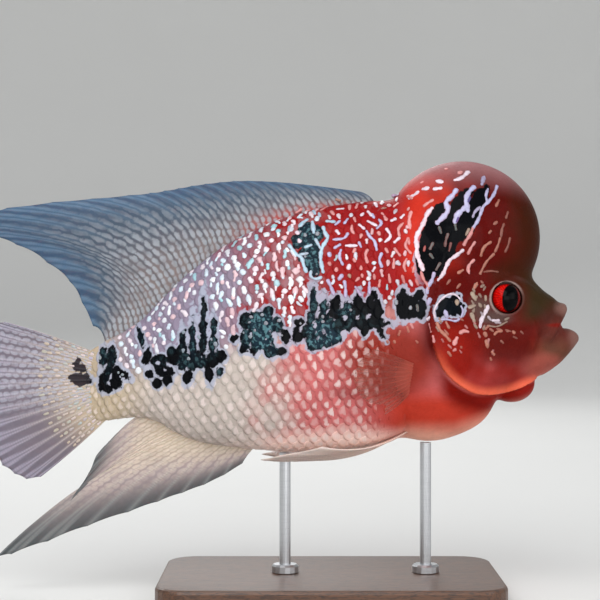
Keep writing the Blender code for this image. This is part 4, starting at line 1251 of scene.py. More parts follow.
NAPE_LINES = (
    ("W", 1.5, 0, 329, 1690, 316, 1677), ("R", 1.3, 0, 347, 1712, 352, 1721),
    ("R", 1.4, 0, 285, 1726, 303, 1741), ("W", 1.8, 0, 274, 1664, 291, 1672),
    ("R", 1.3, 0, 325, 1652, 305, 1628, 309, 1597), ("W", 1.5, 0, 309, 1588, 287, 1568),
    ("W", 1.3, 0, 251, 1628, 269, 1595, 245, 1570), ("W", 1.3, 0, 168, 1662, 207, 1642),
    ("L", 1.3, 0, 218, 1668, 229, 1652, 209, 1630), ("R", 1.5, 0, 216, 1612, 220, 1603),
    ("R", 1.2, 0.1, 346, 1583, 336, 1552, 360, 1519), ("R", 1.2, 0.1, 247, 1541, 257, 1523),
    ("R", 1.2, 0.1, 287, 1541, 298, 1526, 312, 1509), ("L", 1.3, 0, 230, 1519, 220, 1490, 231, 1459),
    ("R", 1.2, 0.1, 285, 1494, 282, 1454), ("R", 1.2, 0.1, 341, 1494, 329, 1464, 336, 1440),
    ("L", 1.3, 0, 163, 1618, 178, 1592, 198, 1573, 208, 1534), ("W", 1.3, 0, 129, 1647, 153, 1628),
    ("R", 1.4, 0, 136, 1589, 140, 1603), ("R", 1.3, 0, 98, 1642, 97, 1623, 106, 1608),
    ("R", 1.3, 0, 107, 1677, 113, 1661), ("L", 1.3, 0, 79, 1672, 64, 1652),
    ("S", 1.7, 0, -15, 1662, 20, 1659), ("L", 1.2, 0, 45, 1664, 24, 1646), ("W", 1.8, 0, 29, 1619, 39, 1607),
    ("L", 1.3, 0, 79, 1608, 62, 1586, 15, 1580), ("L", 1.5, 0, 20, 1543, 45, 1558),
    ("W", 1.4, 0, 71, 1553, 119, 1553), ("L", 1.3, 0.1, 129, 1568, 138, 1548),
    ("R", 1.3, 0.1, 113, 1539, 104, 1524), ("L", 1.3, 0, 49, 1534, 42, 1504, 57, 1469),
    ("R", 1.4, 0.1, 168, 1534, 158, 1514, 166, 1479), ("L", 1.8, 0, -4, 1519, -1, 1508),
    ("R", 1.4, 0.1, 107, 1494, 111, 1483), ("R", 1.5, 0.1, -4, 1477, 0, 1468),
    ("R", 1.5, 0, 27, 1441, 29, 1452), ("W", 1.8, 0.1, 82, 1452, 86, 1466),
    ("R", 1.3, 0.1, 138, 1461, 138, 1448), ("W", 1.3, 0.1, 200, 1457, 190, 1440),
    ("L", 1.7, 0.1, 54, 1422, 40, 1404), ("B", 1.7, 0.1, 85, 1423, 89, 1414),
    ("R", 1.3, 0.2, 142, 1425, 144, 1414), ("R", 1.2, 0.3, 196, 1425, 198, 1405),
    ("R", 1.3, 0.1, 129, 1410, 116, 1397), ("L", 1.4, 0.1, 64, 1395, 69, 1361, 69, 1326),
    ("L", 1.5, 0.1, -10, 1400, 4, 1370, 17, 1336), ("L", 1.3, 0.1, 175, 1390, 175, 1341),
    ("L", 1.2, 0.2, 113, 1370, 138, 1331), ("R", 1.2, 0.2, 222, 1400, 218, 1370),
    ("R", 1.2, 0.2, 262, 1425, 267, 1390), ("R", 1.2, 0.4, 321, 1420, 331, 1385),
    ("W", 1.5, 0, 169, 1704, 187, 1686), ("W", 1.6, 0, 202, 1739, 207, 1728),
    ("W", 1.7, 0, 140, 1688, 147, 1695), ("R", 1.3, 0.1, 122, 1737, 116, 1721),
    ("R", 1.4, 0, 87, 1730, 87, 1715), ("W", 1.4, 0, 31, 1715, 60, 1717), ("R", 1.5, 0, 7, 1704, 16, 1692),
    ("R", 1.2, 0.1, -40, 1710, -13, 1726), ("S", 1.5, 0, -73, 1706, -67, 1695),
    ("S", 1.3, 0.1, -49, 1697, -45, 1684), ("R", 1.2, 0.1, -151, 1699, -127, 1715),
    ("R", 1.2, 0.2, -116, 1701, -93, 1710), ("R", 1.6, 0, 243, 1681, 251, 1668),
    ("L", 1.3, 0, 187, 1692, 196, 1677), ("R", 1.2, 0.1, 231, 1697, 238, 1690),
    ("B", 1.2, 0.3, 27, 1759, 45, 1753), ("B", 1.1, 0.4, 231, 1717, 249, 1721),
    ("L", 1.3, 0.3, 276, 1775, 303, 1779), ("R", 1.5, 0.1, 347, 1773, 365, 1764),
    ("S", 1.7, 0, -30, 1635, -22, 1610, -10, 1588, -24, 1563, -35, 1543, -42, 1504, -37, 1464, -30, 1435),
    ("S", 1.3, 0.1, -65, 1583, -56, 1566, -43, 1543), ("S", 1.9, 0, -78, 1657, -72, 1613),
    ("S", 1.9, 0, -135, 1639, -120, 1655, -102, 1668), ("W", 1.8, 0, -147, 1613, -142, 1607),
    ("W", 1.8, 0, -138, 1579, -134, 1571), ("S", 1.5, 0, -111, 1546, -83, 1556),
    ("S", 1.6, 0, -182, 1555, -169, 1539, -151, 1514, -127, 1499, -116, 1463, -105, 1437),
    ("S", 1.2, 0.2, -142, 1512, -99, 1519), ("S", 1.3, 0.1, -84, 1440, -87, 1419, -65, 1405, -38, 1413),
    ("S", 1.4, 0.1, -182, 1619, -180, 1637),
)
FACE_LINES = (
    ("W", 0.9, 0.1, 467, 1232, 463, 1263, 481, 1299, 507, 1325, 534, 1339, 561, 1334, 579, 1316),
    ("B", 2, 0, 565, 1308, 565, 1294),
    ("L", 0.9, 0.1, 583, 1285, 592, 1263, 583, 1236, 561, 1219, 534, 1223, 507, 1227, 481, 1219),
    ("L", 1.7, 0.1, 512, 1263, 521, 1236), ("L", 2, 0.2, 445, 1316, 436, 1294),
    ("W", 1.7, 0, 434, 1225, 441, 1234), ("R", 1.2, 0.1, 441, 1205, 449, 1170),
    ("R", 1.2, 0.1, 458, 1152, 463, 1125), ("T", 1.4, 0, 476, 1210, 490, 1178, 512, 1156, 534, 1130),
    ("T", 1.2, 0.1, 516, 1214, 530, 1187), ("R", 1.6, 0.1, 579, 1165, 596, 1174, 614, 1170),
    ("R", 2, 0, 565, 1143, 552, 1116), ("R", 1.5, 0.4, 550, 1087, 558, 1092),
    ("T", 1.1, 0.3, 525, 1081, 538, 1063), ("T", 0.9, 0.5, 583, 1105, 585, 1098),
    ("M", 1.1, 0, 387, 1290, 392, 1263), ("T", 1.2, 0.1, 654, 1383, 641, 1361),
    ("B", 1.9, 0, 632, 1343, 645, 1316), ("B", 1.6, 0.1, 619, 1279, 645, 1288),
    ("B", 2, 0, 630, 1250, 641, 1219), ("B", 1.2, 0.3, 641, 1205, 654, 1187),
    ("W", 1.8, 0.1, 703, 1285, 690, 1254, 674, 1223, 668, 1192), ("W", 1.3, 0.2, 723, 1221, 752, 1221),
    ("B", 0.7, 0.3, 699, 1199, 743, 1194, 788, 1216), ("T", 1.3, 0.1, 692, 1183, 705, 1196),
    ("T", 1.7, 0.1, 688, 1165, 694, 1152), ("T", 1.9, 0.1, 696, 1130, 701, 1103),
    ("T", 1.4, 0.1, 721, 1081, 730, 1069), ("T", 1.2, 0.3, 714, 1054, 717, 1045),
    ("T", 1.2, 0, 732, 1158, 743, 1170, 765, 1174), ("T", 1.4, 0.1, 814, 1172, 821, 1165),
    ("T", 1, 0.5, 788, 1172, 799, 1174), ("T", 1.2, 0.5, 761, 1130, 770, 1121),
    ("B", 1.1, 0.5, 672, 1370, 685, 1379), ("B", 1.1, 0.2, 692, 1330, 693, 1310),
    ("T", 1, 0.2, 254, 1130, 258, 1121), ("T", 1, 0.2, 285, 1130, 289, 1121),
    ("T", 1.1, 0.3, 312, 1174, 305, 1156), ("T", 1.1, 0.3, 343, 1192, 350, 1170),
    ("T", 1, 0.4, 383, 1130, 390, 1122), ("R", 1.1, 0.3, 360, 1205, 369, 1187),
    ("B", 1.25, 0.35, 637, 1361, 643, 1349), ("B", 1.35, 0.25, 653, 1328, 647, 1312),
    ("B", 1.25, 0.45, 631, 1308, 638, 1296), ("B", 1.35, 0.35, 664, 1296, 672, 1283),
    ("B", 1.25, 0.45, 642, 1272, 637, 1259), ("W", 1.45, 0.65, 672, 1256, 683, 1243),
    ("B", 0.95, 0.45, 691, 1275, 688, 1291), ("W", 1.45, 0.55, 704, 1237, 715, 1224),
    ("W", 1.25, 0.55, 736, 1213, 758, 1210), ("B", 1.15, 0.45, 779, 1224, 795, 1232),
    ("B", 1.25, 0.45, 688, 1198, 683, 1181), ("T", 1.05, 0.35, 712, 1184, 726, 1173),
    ("T", 0.95, 0.45, 743, 1184, 763, 1178), ("T", 0.95, 0.55, 783, 1178, 803, 1173),
    ("B", 1.05, 0.55, 645, 1384, 653, 1376), ("T", 0.95, 0.55, 672, 1397, 680, 1387),
    ("B", 0.95, 0.55, 691, 1371, 683, 1355), ("B", 1.05, 0.55, 664, 1339, 672, 1325),
    ("T", 0.95, 0.45, 577, 1232, 593, 1221), ("R", 0.95, 0.55, 601, 1198, 611, 1186),
    ("R", 1.15, 0.45, 637, 1221, 646, 1205), ("R", 1.15, 0.55, 659, 1165, 667, 1146),
    ("R", 1.05, 0.55, 707, 1138, 702, 1120), ("R", 1.15, 0.65, 726, 1088, 723, 1072),
    ("B", 0.95, 0.35, 486, 1232, 494, 1212), ("B", 0.95, 0.35, 473, 1192, 484, 1173),
    ("R", 0.95, 0.55, 526, 1112, 540, 1098), ("R", 0.85, 0.65, 577, 1088, 585, 1077),
    ("T", 0.95, 0.35, 510, 1178, 526, 1157), ("T", 0.75, 0.7, 816, 1149, 832, 1141),
    ("T", 0.75, 0.7, 849, 1173, 859, 1162), ("R", 0.75, 0.65, 497, 1138, 505, 1125),
)


@dataclass
class PearlStrokes:
    """The pearly lines of the forehead, nape, back and cheeks, as thin raised worms of skin."""

    skin: Skin
    pace: float = 0.6
    forehead: tuple[Stroke, ...] = tuple(map(Stroke.of, FOREHEAD_LINES))
    nape: tuple[Stroke, ...] = tuple(map(Stroke.of, NAPE_LINES))
    face: tuple[Stroke, ...] = tuple(map(Stroke.of, FACE_LINES))

    def build(self, material: Material) -> None:
        """Makes the lines of each side."""
        for side in Side:
            rng = np.random.default_rng(SEED * 3 + side.value)
            mesh = PearlMesh("pearl_marks_" + side.name.lower(), self.skin.colouring)
            for stroke in (*self.forehead, *self.nape, *self.face):
                over_scales = 0.2 if stroke in self.nape else 0
                line = self.laid(stroke, side, over_scales, rng)
                place = ((stroke.line[0][0] + 25) / 140, (stroke.line[0][1] - 90) / 110)
                colour = (*stroke.hue.value[:3], stroke.faint)
                mesh.add(line, stroke.width, colour, place, rng.uniform(0, 6))
            mesh.build(material)

    def places(self) -> Array:
        """Points close together along the lines of the nape, as seen in the side view."""
        return np.concatenate([
            np.linspace(start, end, 5)
            for stroke in self.nape
            for start, end in zip(np.array(stroke.line[:-1]), np.array(stroke.line[1:]))
        ])

    def laid(self, stroke: Stroke, side: Side, lift: float, rng: np.random.Generator) -> Rows:
        """One line laid on the skin.

        Args:
            stroke: The line.
            side: The side of the fish.
            lift: How far over the skin it lies, in millimetres.
            rng: The source of the far side's small shifts.

        Returns:
            The line's middle and the ways the skin faces there, one to a row.
        """
        run = np.array(stroke.line)
        more = 0.38 * stroke.width
        first, last = run[1] - run[0], run[-1] - run[-2]
        run[0] = run[0] - first / (np.linalg.norm(first) + 1e-9) * more
        run[-1] = run[-1] + last / (np.linalg.norm(last) + 1e-9) * more
        steps = max(7, int(np.linalg.norm(np.diff(run, axis=0), axis=1).sum() / self.pace) + 1)
        run = spread(run, steps) if len(run) > 2 else np.linspace(run[0], run[-1], steps)
        share = np.linspace(0, 1, steps)
        eased = np.interp(share, (0, 0.12, 0.88, 1), (0, 0.05, 0.95, 1))
        run = rows_at(eased, share, run)
        if side is Side.LEFT:
            run = run + rng.uniform(-0.7, 0.7, 2)
        eye = Vector((EYE_LINE[0], side.value * EYE_LINE[1], EYE_LINE[2]))
        middle, facing = [], []
        for x, z in run:
            way = (Vector((x, 0, z)) - eye).normalized()
            found, normal, _, _ = self.skin.tree.ray_cast(eye, way, 900)
            middle.append(np.array(found if found is not None else (x, side.value, z)))
            facing.append(np.array(normal if found is not None else (0, side.value, 0)))
        facing = np.array(facing)
        return np.array(middle) + lift * facing, facing


@dataclass
class FlankPearls:
    """The pearls of the upper flank behind the nape, short bars or round dots on its scales and between them.

    Those of the nape keep clear of the lines drawn there, and none lies on the rim of a black mark.
    """

    skin: Skin
    scales: ScaleCoat
    drawn: Array
    lift: float = 0.18
    clear: float = 1.75
    beside: float = 2.1
    behind: float = 0.4
    rim: tuple[float, float] = (-0.5, 1.5)
    bare: float = 0.62
    hues: tuple[Colour, ...] = (
        tone(238, 242, 248), tone(214, 232, 244), tone(240, 226, 234), tone(162, 214, 224),
        tone(226, 190, 196),
    )
    odds: tuple[float, ...] = (0.3, 0.26, 0.2, 0.09, 0.15)
    dim: Colour = tone(128, 146, 156)

    def build(self, material: Material) -> None:
        """Makes the pearls of one side."""
        side = self.scales.side
        rng = np.random.default_rng(SEED * 7 + side.value)
        mesh = PearlMesh("pearls_" + side.name.lower(), self.skin.colouring)
        centres = np.array([seat.centre for seat in self.scales.seats])
        outside = self.skin.colouring.outside_black(centres)
        for seat, edge in zip(self.scales.seats, outside):
            self.pearl(mesh, seat, float(edge), rng)
        for seat in self.scales.seats:
            ahead = float(rise(-6, 2, seat.centre[0]))
            if rng.uniform() < np.interp(seat.centre[0], (-60, -40, 0), (0.45, 0.75, 0.85)):
                size = (0.66 + 0.3 * ahead) * seat.size
                centre = seat.centre + self.beside * seat.over + self.behind * seat.back
                between = replace(seat, centre=centre, size=size)
                edge = float(self.skin.colouring.outside_black(between.centre[None])[0])
                self.pearl(mesh, between, edge, rng)
        mesh.build(material)

    def pearl(self, mesh: PearlMesh, seat: Seat, edge: float, rng: np.random.Generator) -> None:
        """Adds the pearl of one scale, where it has one.

        Args:
            mesh: What the pearl is added to.
            seat: The scale.
            edge: How far the scale lies outside the black marks, in millimetres.
            rng: The source of the pearls' differences.
        """
        x, _, z = as_seen(seat.centre[None])[0]
        above = z - float(np.interp(x, *np.array(Colouring.band).T))
        nape = x > -4.5 and above > 3
        if nape and np.min(np.hypot(self.drawn[:, 0] - x, self.drawn[:, 1] - z)) < self.clear:
            return
        if above + rng.uniform(-2, 2) < -1 or self.rim[0] < edge < self.rim[1]:
            return
        size = seat.size * (0.72 if nape else 1)
        hue = self.hues[int(rng.choice(len(self.hues), p=self.odds))]
        faint = rng.uniform(0, 0.26) + 0.16 * nape
        bar = rng.uniform() < np.interp(x, (-100, -60, -50, -10), (0.15, 0.25, 0.5, 0.62))
        if edge < self.rim[0]:
            if rng.uniform() < self.bare:
                return
            hue, bar, size, faint = self.dim, False, 0.6 * size, 0.1
        length = rng.uniform(3.2, 5.4) if bar else rng.uniform(2.5, 3.9)
        width = rng.uniform(1.6, 2.3) if bar else rng.uniform(2.4, 3.5)
        lean, bend = rng.normal(0.1, 0.35), rng.uniform(-0.16, 0.2)
        share = np.linspace(-0.5, 0.5, 9)
        run = share * length * size
        off = bend * (4 * share**2 - 0.5) * length * size * bar
        up = math.copysign(1, seat.over[2])
        along = up * seat.over * math.cos(lean) + seat.back * math.sin(lean)
        behind = seat.back * math.cos(lean) - up * seat.over * math.sin(lean)
        slid = rng.uniform(-0.7, 0.9)
        spots = seat.centre + seat.back * slid + run[:, None] * along + off[:, None] * behind
        middle, facing = self.skin.under(spots)
        line = (middle + self.lift * facing, facing)
        mesh.add(line, width * size, (*hue[:3], faint), seat.flat, rng.uniform(0, 6))


@dataclass
class Fin:
    """A fin: a thin web over branching rays, which it joins in its own surface."""

    name: str
    node: str
    roots: Array
    bends: Array
    tips: Array
    spines: int
    rows: int = 34
    per_gap: int = 8
    web: float = 0.13
    ridge_root: float = 0.42
    ridge_tip: float = 0.12
    fray: float = 0.018
    sways: bool = True
    fork: float = 0.17
    twig: float = 0.085
    surface: Rows = field(init=False)

    def between(self, table: Array, place: Array) -> Array:
        """The table's row at places that may lie between two rays."""
        fine = smooth_line(table, self.per_gap)
        wanted = place * self.per_gap
        return rows_at(wanted, np.arange(len(fine)), fine)

    def build(self, material: Material, tints: "FinTints") -> None:
        """Makes the fin's mesh and dresses it."""
        rng = np.random.default_rng(len(self.name) + SEED)
        gaps = len(self.roots) - 1
        ray = np.linspace(0, gaps, gaps * self.per_gap + 1)
        root, bend, tip = (self.between(each, ray) for each in (self.roots, self.bends, self.tips))
        off = np.abs(ray - np.round(ray))
        ragged = np.interp(ray, np.arange(gaps + 1), rng.uniform(-1, 1, gaps + 1))
        end = 1 - self.fray * (np.sin(off * math.pi) ** 0.7) + 0.008 * ragged
        share = np.linspace(0, 1, self.rows + 1)[None, :] * end[:, None]
        t = share[..., None]
        middle = (1 - t) ** 2 * root[:, None] + 2 * t * (1 - t) * bend[:, None] + t**2 * tip[:, None]
        if self.sways:
            middle[..., 1] += swing(middle[..., 0])
        ridge = self.ridges(ray[:, None], share)
        normal = np.cross(np.gradient(middle, axis=0), np.gradient(middle, axis=1))
        normal /= np.linalg.norm(normal, axis=2)[..., None] + 1e-9
        strength = self.ridge_root + (self.ridge_tip - self.ridge_root) * share**0.7
        half = (self.web * (1.25 - 0.5 * share) + ridge * strength)[..., None]
        front, back = middle + normal * half, middle - normal * half
        points = np.concatenate([front.reshape(-1, 3), back.reshape(-1, 3)])
        piece = make_piece(self.name, points, plate_faces(*ridge.shape, (0, 3, 2, 1), UPWARD))
        steps = np.linalg.norm(np.diff(middle, axis=1), axis=2)
        length = np.concatenate([np.zeros((len(ray), 1)), np.cumsum(steps, axis=1)], axis=1)
        wide = np.broadcast_to(ray[:, None], ridge.shape)
        places = middle.reshape(-1, 3)
        gap = tints.gap_root + (tints.gap_edge - tints.gap_root) * rise(0.1, 0.75, share)
        beat = np.cumsum(np.diff(length, axis=1, prepend=0) / gap, axis=1)
        spotted, black = tints.spotted(places, share.ravel()), Colouring().outside_black(places)
        held = {"ray": wide, "along": length, "ridge": ridge, "reach": share, "beat": beat}
        held.update({"spotted": spotted, "black": black})
        carry(piece, **{key: np.tile(value.ravel(), 2) for key, value in held.items()})
        carry(piece, tint=np.tile(tints.colour(places, share.ravel()), (2, 1)))
        self.surface = (middle, normal, half)
        show(piece, "fins", material, self.node)

    def ridges(self, ray: Array, share: Array) -> Array:
        """How much of a ray's ridge stands at each place of the web, from 0 to 1."""
        nearest = np.round(ray)
        soft = (nearest >= self.spines) * 1
        fork = soft * self.fork * rise(0.38, 1, share)
        twig = soft * self.twig * rise(0.68, 1, share)
        off = np.abs(ray - nearest)
        inner = np.abs(off - fork)
        inner = np.minimum(inner, np.abs(off - fork - twig))
        inner = np.minimum(inner, np.abs(off - np.clip(fork - twig, 0, None)))
        return np.exp(-((inner / (0.115 - 0.05 * soft * share)) ** 2))


@dataclass(frozen=True)
class FinTints:
    """The colours of a fin's web from its root to its edge, and where it is spotted."""

    root: Colour
    middle: Colour
    edge: Colour
    flush: Colour = tone(176, 56, 48)
    flush_from: float = 1000
    flush_reach: float = 0.12
    spots_root: float = 1
    spots_edge: float = 0.6
    spots_above: float = -1000
    gap_root: float = 3.8
    gap_edge: float = 3.8

    def colour(self, points: Array, share: Array) -> Array:
        """The web's colour at places of it."""
        near, far = rise(0.04, 0.55, share)[:, None], rise(0.45, 1, share)[:, None]
        colour = np.array(self.root[:3]) * (1 - near) + np.array(self.middle[:3]) * near
        colour = colour * (1 - far) + np.array(self.edge[:3]) * far
        flush = rise(self.flush_from, self.flush_from + 30, points[:, 0])
        flush = (flush * rise(self.flush_reach + 0.22, self.flush_reach - 0.1, share))[:, None]
        return colour * (1 - flush) + np.array(self.flush[:3]) * flush

    def spotted(self, points: Array, share: Array) -> Array:
        """How strong the spots are at places of the web."""
        strength = self.spots_root + (self.spots_edge - self.spots_root) * rise(0.15, 0.85, share)
        return strength * rise(self.spots_above - 8, self.spots_above + 6, points[:, 2])


@dataclass(frozen=True)
class FinPaint:
    """A thin web with rays, and rows of pale cells between them."""

    name: str
    ray: Colour
    ray_tip: Colour
    cell: Colour
    ray_share: float = 0.6
    clear: float = 0.15

    def material(self) -> Material:
        """The fin's material."""
        glaze = {"Coat_Weight": 0.06, "Coat_Roughness": 0.25, "Specular_IOR_Level": 0.2}
        coat = Coat(self.name, Subsurface_Weight=0.08, Subsurface_Scale=0.0015, **glaze)
        names = ("ray", "along", "ridge", "reach", "spotted", "beat")
        ray, along, ridge, reach, spotted, beat = (coat.attribute(key) for key in names)
        where = coat.place()
        wild, small = coat.noise(where, 210, 2), coat.noise(where, 640, 2)
        column = ray * 2 + (wild - 0.5) * 0.9
        over = column.fraction() - 0.5
        step = beat + (column.floor() * 0.618).fraction() + (small - 0.5) * 0.5 + (wild - 0.5) * 0.6
        down = step.fraction() - 0.5
        far = (over * 2.35) ** 2 + (down * 1.75) ** 2 + (small - 0.5) * 0.9
        cell = far.rise(1.15, 0.2) * spotted * (coat.noise(where, 190, 2).rise(0.3, 0.6) * 0.5 + 0.5)
        cloudy = coat.noise(where, 70, 3)
        base = coat.shade(coat.attribute("tint", "Color"), 0.72 + cloudy * 0.3 + small * 0.26)
        bone = coat.mix(reach.rise(0.35, 0.85), self.ray, self.ray_tip)
        base = coat.mix(ridge * self.ray_share, base, bone)
        base = coat.mix(cell * 0.85, base, self.cell)
        edge = coat.attribute("black") + (small - 0.5) * 1.6
        base = coat.mix(edge.rise(0.3, -0.3), base, tone(36, 30, 36))
        solid = (1 - self.clear * reach.rise(0, 0.7) + ridge * 0.3 + cell * 0.15).least(1)
        normal = coat.bump(ridge * (along * 5.2).wave() * 0.25 + small * 0.3, 0.0002)
        return coat.finish(Base_Color=base, Roughness=0.42 + small * 0.1, Alpha=solid, Normal=normal)


@dataclass
class FinSet:
    """Every fin of the fish, on the same lines as its solids."""

    skin: Skin
    pearly: Material

    def build(self) -> None:
        """Makes the dorsal, tail, anal, pectoral and pelvic fins."""
        looks = (
            ("web_grey", (72, 76, 88), (100, 130, 156), (158, 165, 172), 0.5, 0.08),
            ("web_tail", (192, 180, 174), (168, 162, 178), (172, 174, 186), 0.7, 0.12),
            ("web_anal", (206, 190, 176), (128, 130, 130), (214, 200, 184), 0.75, 0.1),
            ("web_clear", (168, 76, 64), (176, 92, 80), (168, 76, 64), 0.3, 0.85),
            ("web_pale", (222, 198, 188), (222, 206, 198), (222, 198, 188), 0.5, 0.1),
        )
        grey, pink, pale, clear, belly = (
            FinPaint(name, tone(*ray), tone(*tip), tone(*cell), ray_share, see_through).material()
            for name, ray, tip, cell, ray_share, see_through in looks
        )
        self.dorsal(grey)
        self.tail(pink)
        self.anal(pale)
        for side in Side:
            self.pectoral(side, clear)
            self.pelvic(side, belly)

    def dorsal(self, material: Material) -> None:
        """Sixteen spines and twelve soft rays, the last ones drawn out in a long point behind."""
        count = 28
        base = ((21, 172), (0, 170.5), (-22, 164), (-49, 151), (-69, 134), (-85, 118.5), (-100, 109.5))
        front = ((13, 179.5), (-6, 182), (-28, 184), (-45, 184), (-62, 182), (-80, 179))
        hind = (
            (-90, 178), (-106, 176.5), (-124, 175), (-144, 172.5), (-160, 169.5), (-173.4, 166),
            (-158, 161.5), (-140, 156), (-127, 148), (-117, 139.5), (-111, 130), (-106, 119.5),
        )
        roots = spread(base, count)
        tips = np.concatenate([spread(front, count - len(hind)), np.array(hind)])
        soft = np.clip(np.arange(count) - 14, 0, None)[:, None] / (count - 15)
        swept = roots + (0.14, 0.95) * (tips - roots)
        straight = 0.5 * (roots + tips)
        bends = straight + (swept - straight) * (0.7 + 0.3 * np.sin(math.pi * np.clip(soft, 0, 0.86) / 1.5))
        wave = 2.6 * np.sin(0.55 * np.arange(count)) * np.arange(count) / count
        colours = (tone(120, 108, 106), tone(64, 80, 96), tone(52, 80, 108))
        tints = FinTints(*colours, flush_from=-52, spots_edge=0.12, gap_root=3.2, gap_edge=9.5)
        self.fin("dorsal", (roots, bends, tips), wave, 0.35, 16).build(material, tints)

    def tail(self, material: Material) -> None:
        """Sixteen rays in a rounded fan."""
        count = 16
        base = ((-104, 107.5), (-105.5, 101), (-105.5, 93.5), (-103.5, 85), (-99, 78.5))
        edge = (
            (-146, 121.3), (-154.5, 119.8), (-159.5, 113), (-160.6, 101), (-159.5, 86), (-155, 70.5),
            (-148, 58), (-139, 51.2), (-130, 51.6),
        )
        roots, tips = spread(base, count), spread(edge, count)
        bends = 0.5 * (roots + tips) + (0, 1.5) * np.linspace(1, -1, count)[:, None]
        wave = 2.2 * np.sin(np.linspace(0, 2.6 * math.pi, count))
        colours = (tone(182, 165, 140), tone(114, 106, 116), tone(108, 104, 118))
        web = self.fin("tail", (roots, bends, tips), wave, 0.2, 1)
        web.build(material, FinTints(*colours, spots_above=84, spots_edge=0.7))
        self.tail_pearls(web)

    def tail_pearls(self, web: Fin) -> None:
        """Rows of drawn-out pearls between the rays at the tail's root, on both of its sides."""
        rng = np.random.default_rng(SEED * 5)
        mesh = PearlMesh("tail_pearls", self.skin.colouring, height=0.16, sides=6)
        for gap in range(len(web.roots) - 1):
            for start in np.arange(0.02, 0.42, 0.066):
                column = int((gap + rng.uniform(0.3, 0.7)) * web.per_gap)
                share = start + rng.uniform(-0.014, 0.014) + np.linspace(0, rng.uniform(0.034, 0.056), 7)
                rows = share * web.rows
                grid = np.arange(web.rows + 1)
                spot, facing, thick = (rows_at(rows, grid, each[column]) for each in web.surface)
                if Colouring().outside_black(spot[3:4])[0] < 1:
                    continue
                hue = (Hue.WHITE, Hue.WHITE, Hue.LILAC, Hue.SKY)[int(rng.integers(4))].value
                faint = 0.15 + 1.4 * float(start) + rng.uniform(0, 0.2)
                colour = (*hue[:3], min(faint, 0.85))
                for way in (-1, 1):
                    line = (spot + way * facing * (thick + 0.04), way * facing)
                    place = (gap / 20, float(start) * 2)
                    mesh.add(line, rng.uniform(0.9, 1.4), colour, place, rng.uniform(0, 6))
        mesh.build(self.pearly)

    def anal(self, material: Material) -> None:
        """Seven spines and nine soft rays, drawn out in a long point behind and below."""
        base = ((-31.5, 67.5), (-45, 69.5), (-58, 72.5), (-70, 77), (-81, 82.5))
        edge = (
            (-39, 58.5), (-47, 53.5), (-56, 49), (-66, 45), (-77, 41), (-90, 36.5), (-108, 30.5),
            (-126, 23.5), (-143, 17), (-150.6, 14.9), (-138, 21), (-124, 31.5), (-114, 44.5),
            (-108, 53.5), (-104, 62), (-96.5, 70),
        )
        tips = np.array(edge)
        count = len(edge)
        roots = spread(base, count)
        turned = np.stack([tips[:, 1] - roots[:, 1], roots[:, 0] - tips[:, 0]], axis=1)
        bends = 0.5 * (roots + tips) + 0.1 * turned
        wave = 2 * np.sin(0.8 * np.arange(count)) * np.arange(count) / count
        colours = (tone(184, 168, 146), tone(158, 145, 146), tone(72, 78, 80))
        tints = FinTints(*colours, spots_root=0.9, spots_edge=0)
        self.fin("anal", (roots, bends, tips), wave, 0.3, 7).build(material, tints)

    def fin(self, kind: str, lines: Rows, wave: Array, lean: float, spines: int) -> Fin:
        """A fin of the midline, with its rays' tips swayed to the sides.

        Args:
            kind: What its names start with.
            lines: The rays' roots, bends and tips as (x, z) rows.
            wave: How far each ray's tip sways, in millimetres.
            lean: How far its bend does, as a share of that.
            spines: How many of the rays in front don't branch.

        Returns:
            The fin.
        """
        roots, bends, tips = (
            np.stack([line[:, 0], share * wave, line[:, 1]], axis=1)
            for line, share in zip(lines, (0, lean, 1))
        )
        return Fin(kind + "_web", kind + "_fin", roots, bends, tips, spines)

    def pectoral(self, side: Side, material: Material) -> None:
        """A clear fan of twelve rays held out from the flank."""
        back, out = math.cos(math.radians(52)), math.sin(math.radians(52))
        roots, bends, tips = [], [], []
        for share in np.linspace(0, 1, 12):
            x, z = 34.6 - 2.6 * share, 103.5 - 12.5 * share
            found, _ = self.skin.nearest(np.array([x, side.value * 26, z]))
            root = np.array([x + 1.5, abs(found[1]) - 1.6, z])
            length = 20 + 23 * math.sin(math.pi * min(share * 1.1 + 0.14, 1)) ** 0.8
            way = np.array([-back, out, 0.24 - 0.7 * share])
            tip = root + way / np.linalg.norm(way) * length
            roots.append(root)
            tips.append(tip)
            bends.append(0.5 * (root + tip) + np.array([1.6, 1.8, 0.6 * (0.5 - share)]))
        tints = FinTints(tone(176, 84, 70), tone(150, 70, 60), tone(160, 96, 86), spots_root=0, spots_edge=0)
        self.paired("pectoral", side, (roots, bends, tips), material, tints)

    def pelvic(self, side: Side, material: Material) -> None:
        """A spine and five soft rays laid back under the belly."""
        tips = (
            (-4, 18, 67.6), (-22, 15.5, 63.6), (-30, 12.5, 61.4), (-24, 9.8, 60.4), (-14, 7.4, 60.2),
            (-3, 5.8, 60.5),
        )
        roots, bends = [], []
        for share, tip in zip(np.linspace(0, 1, len(tips)), tips):
            y = 10.5 - 5 * share
            roots.append((34 - share, y, 73.8))
            bends.append((17 - 2 * share, 0.45 * y + 0.55 * tip[1] + 1, 60.6 + 2.2 * (1 - share)))
        colours = (tone(228, 180, 164), tone(222, 196, 184), tone(208, 192, 184))
        tints = FinTints(*colours, spots_root=0, spots_edge=0)
        self.paired("pelvic", side, (roots, bends, tips), material, tints)

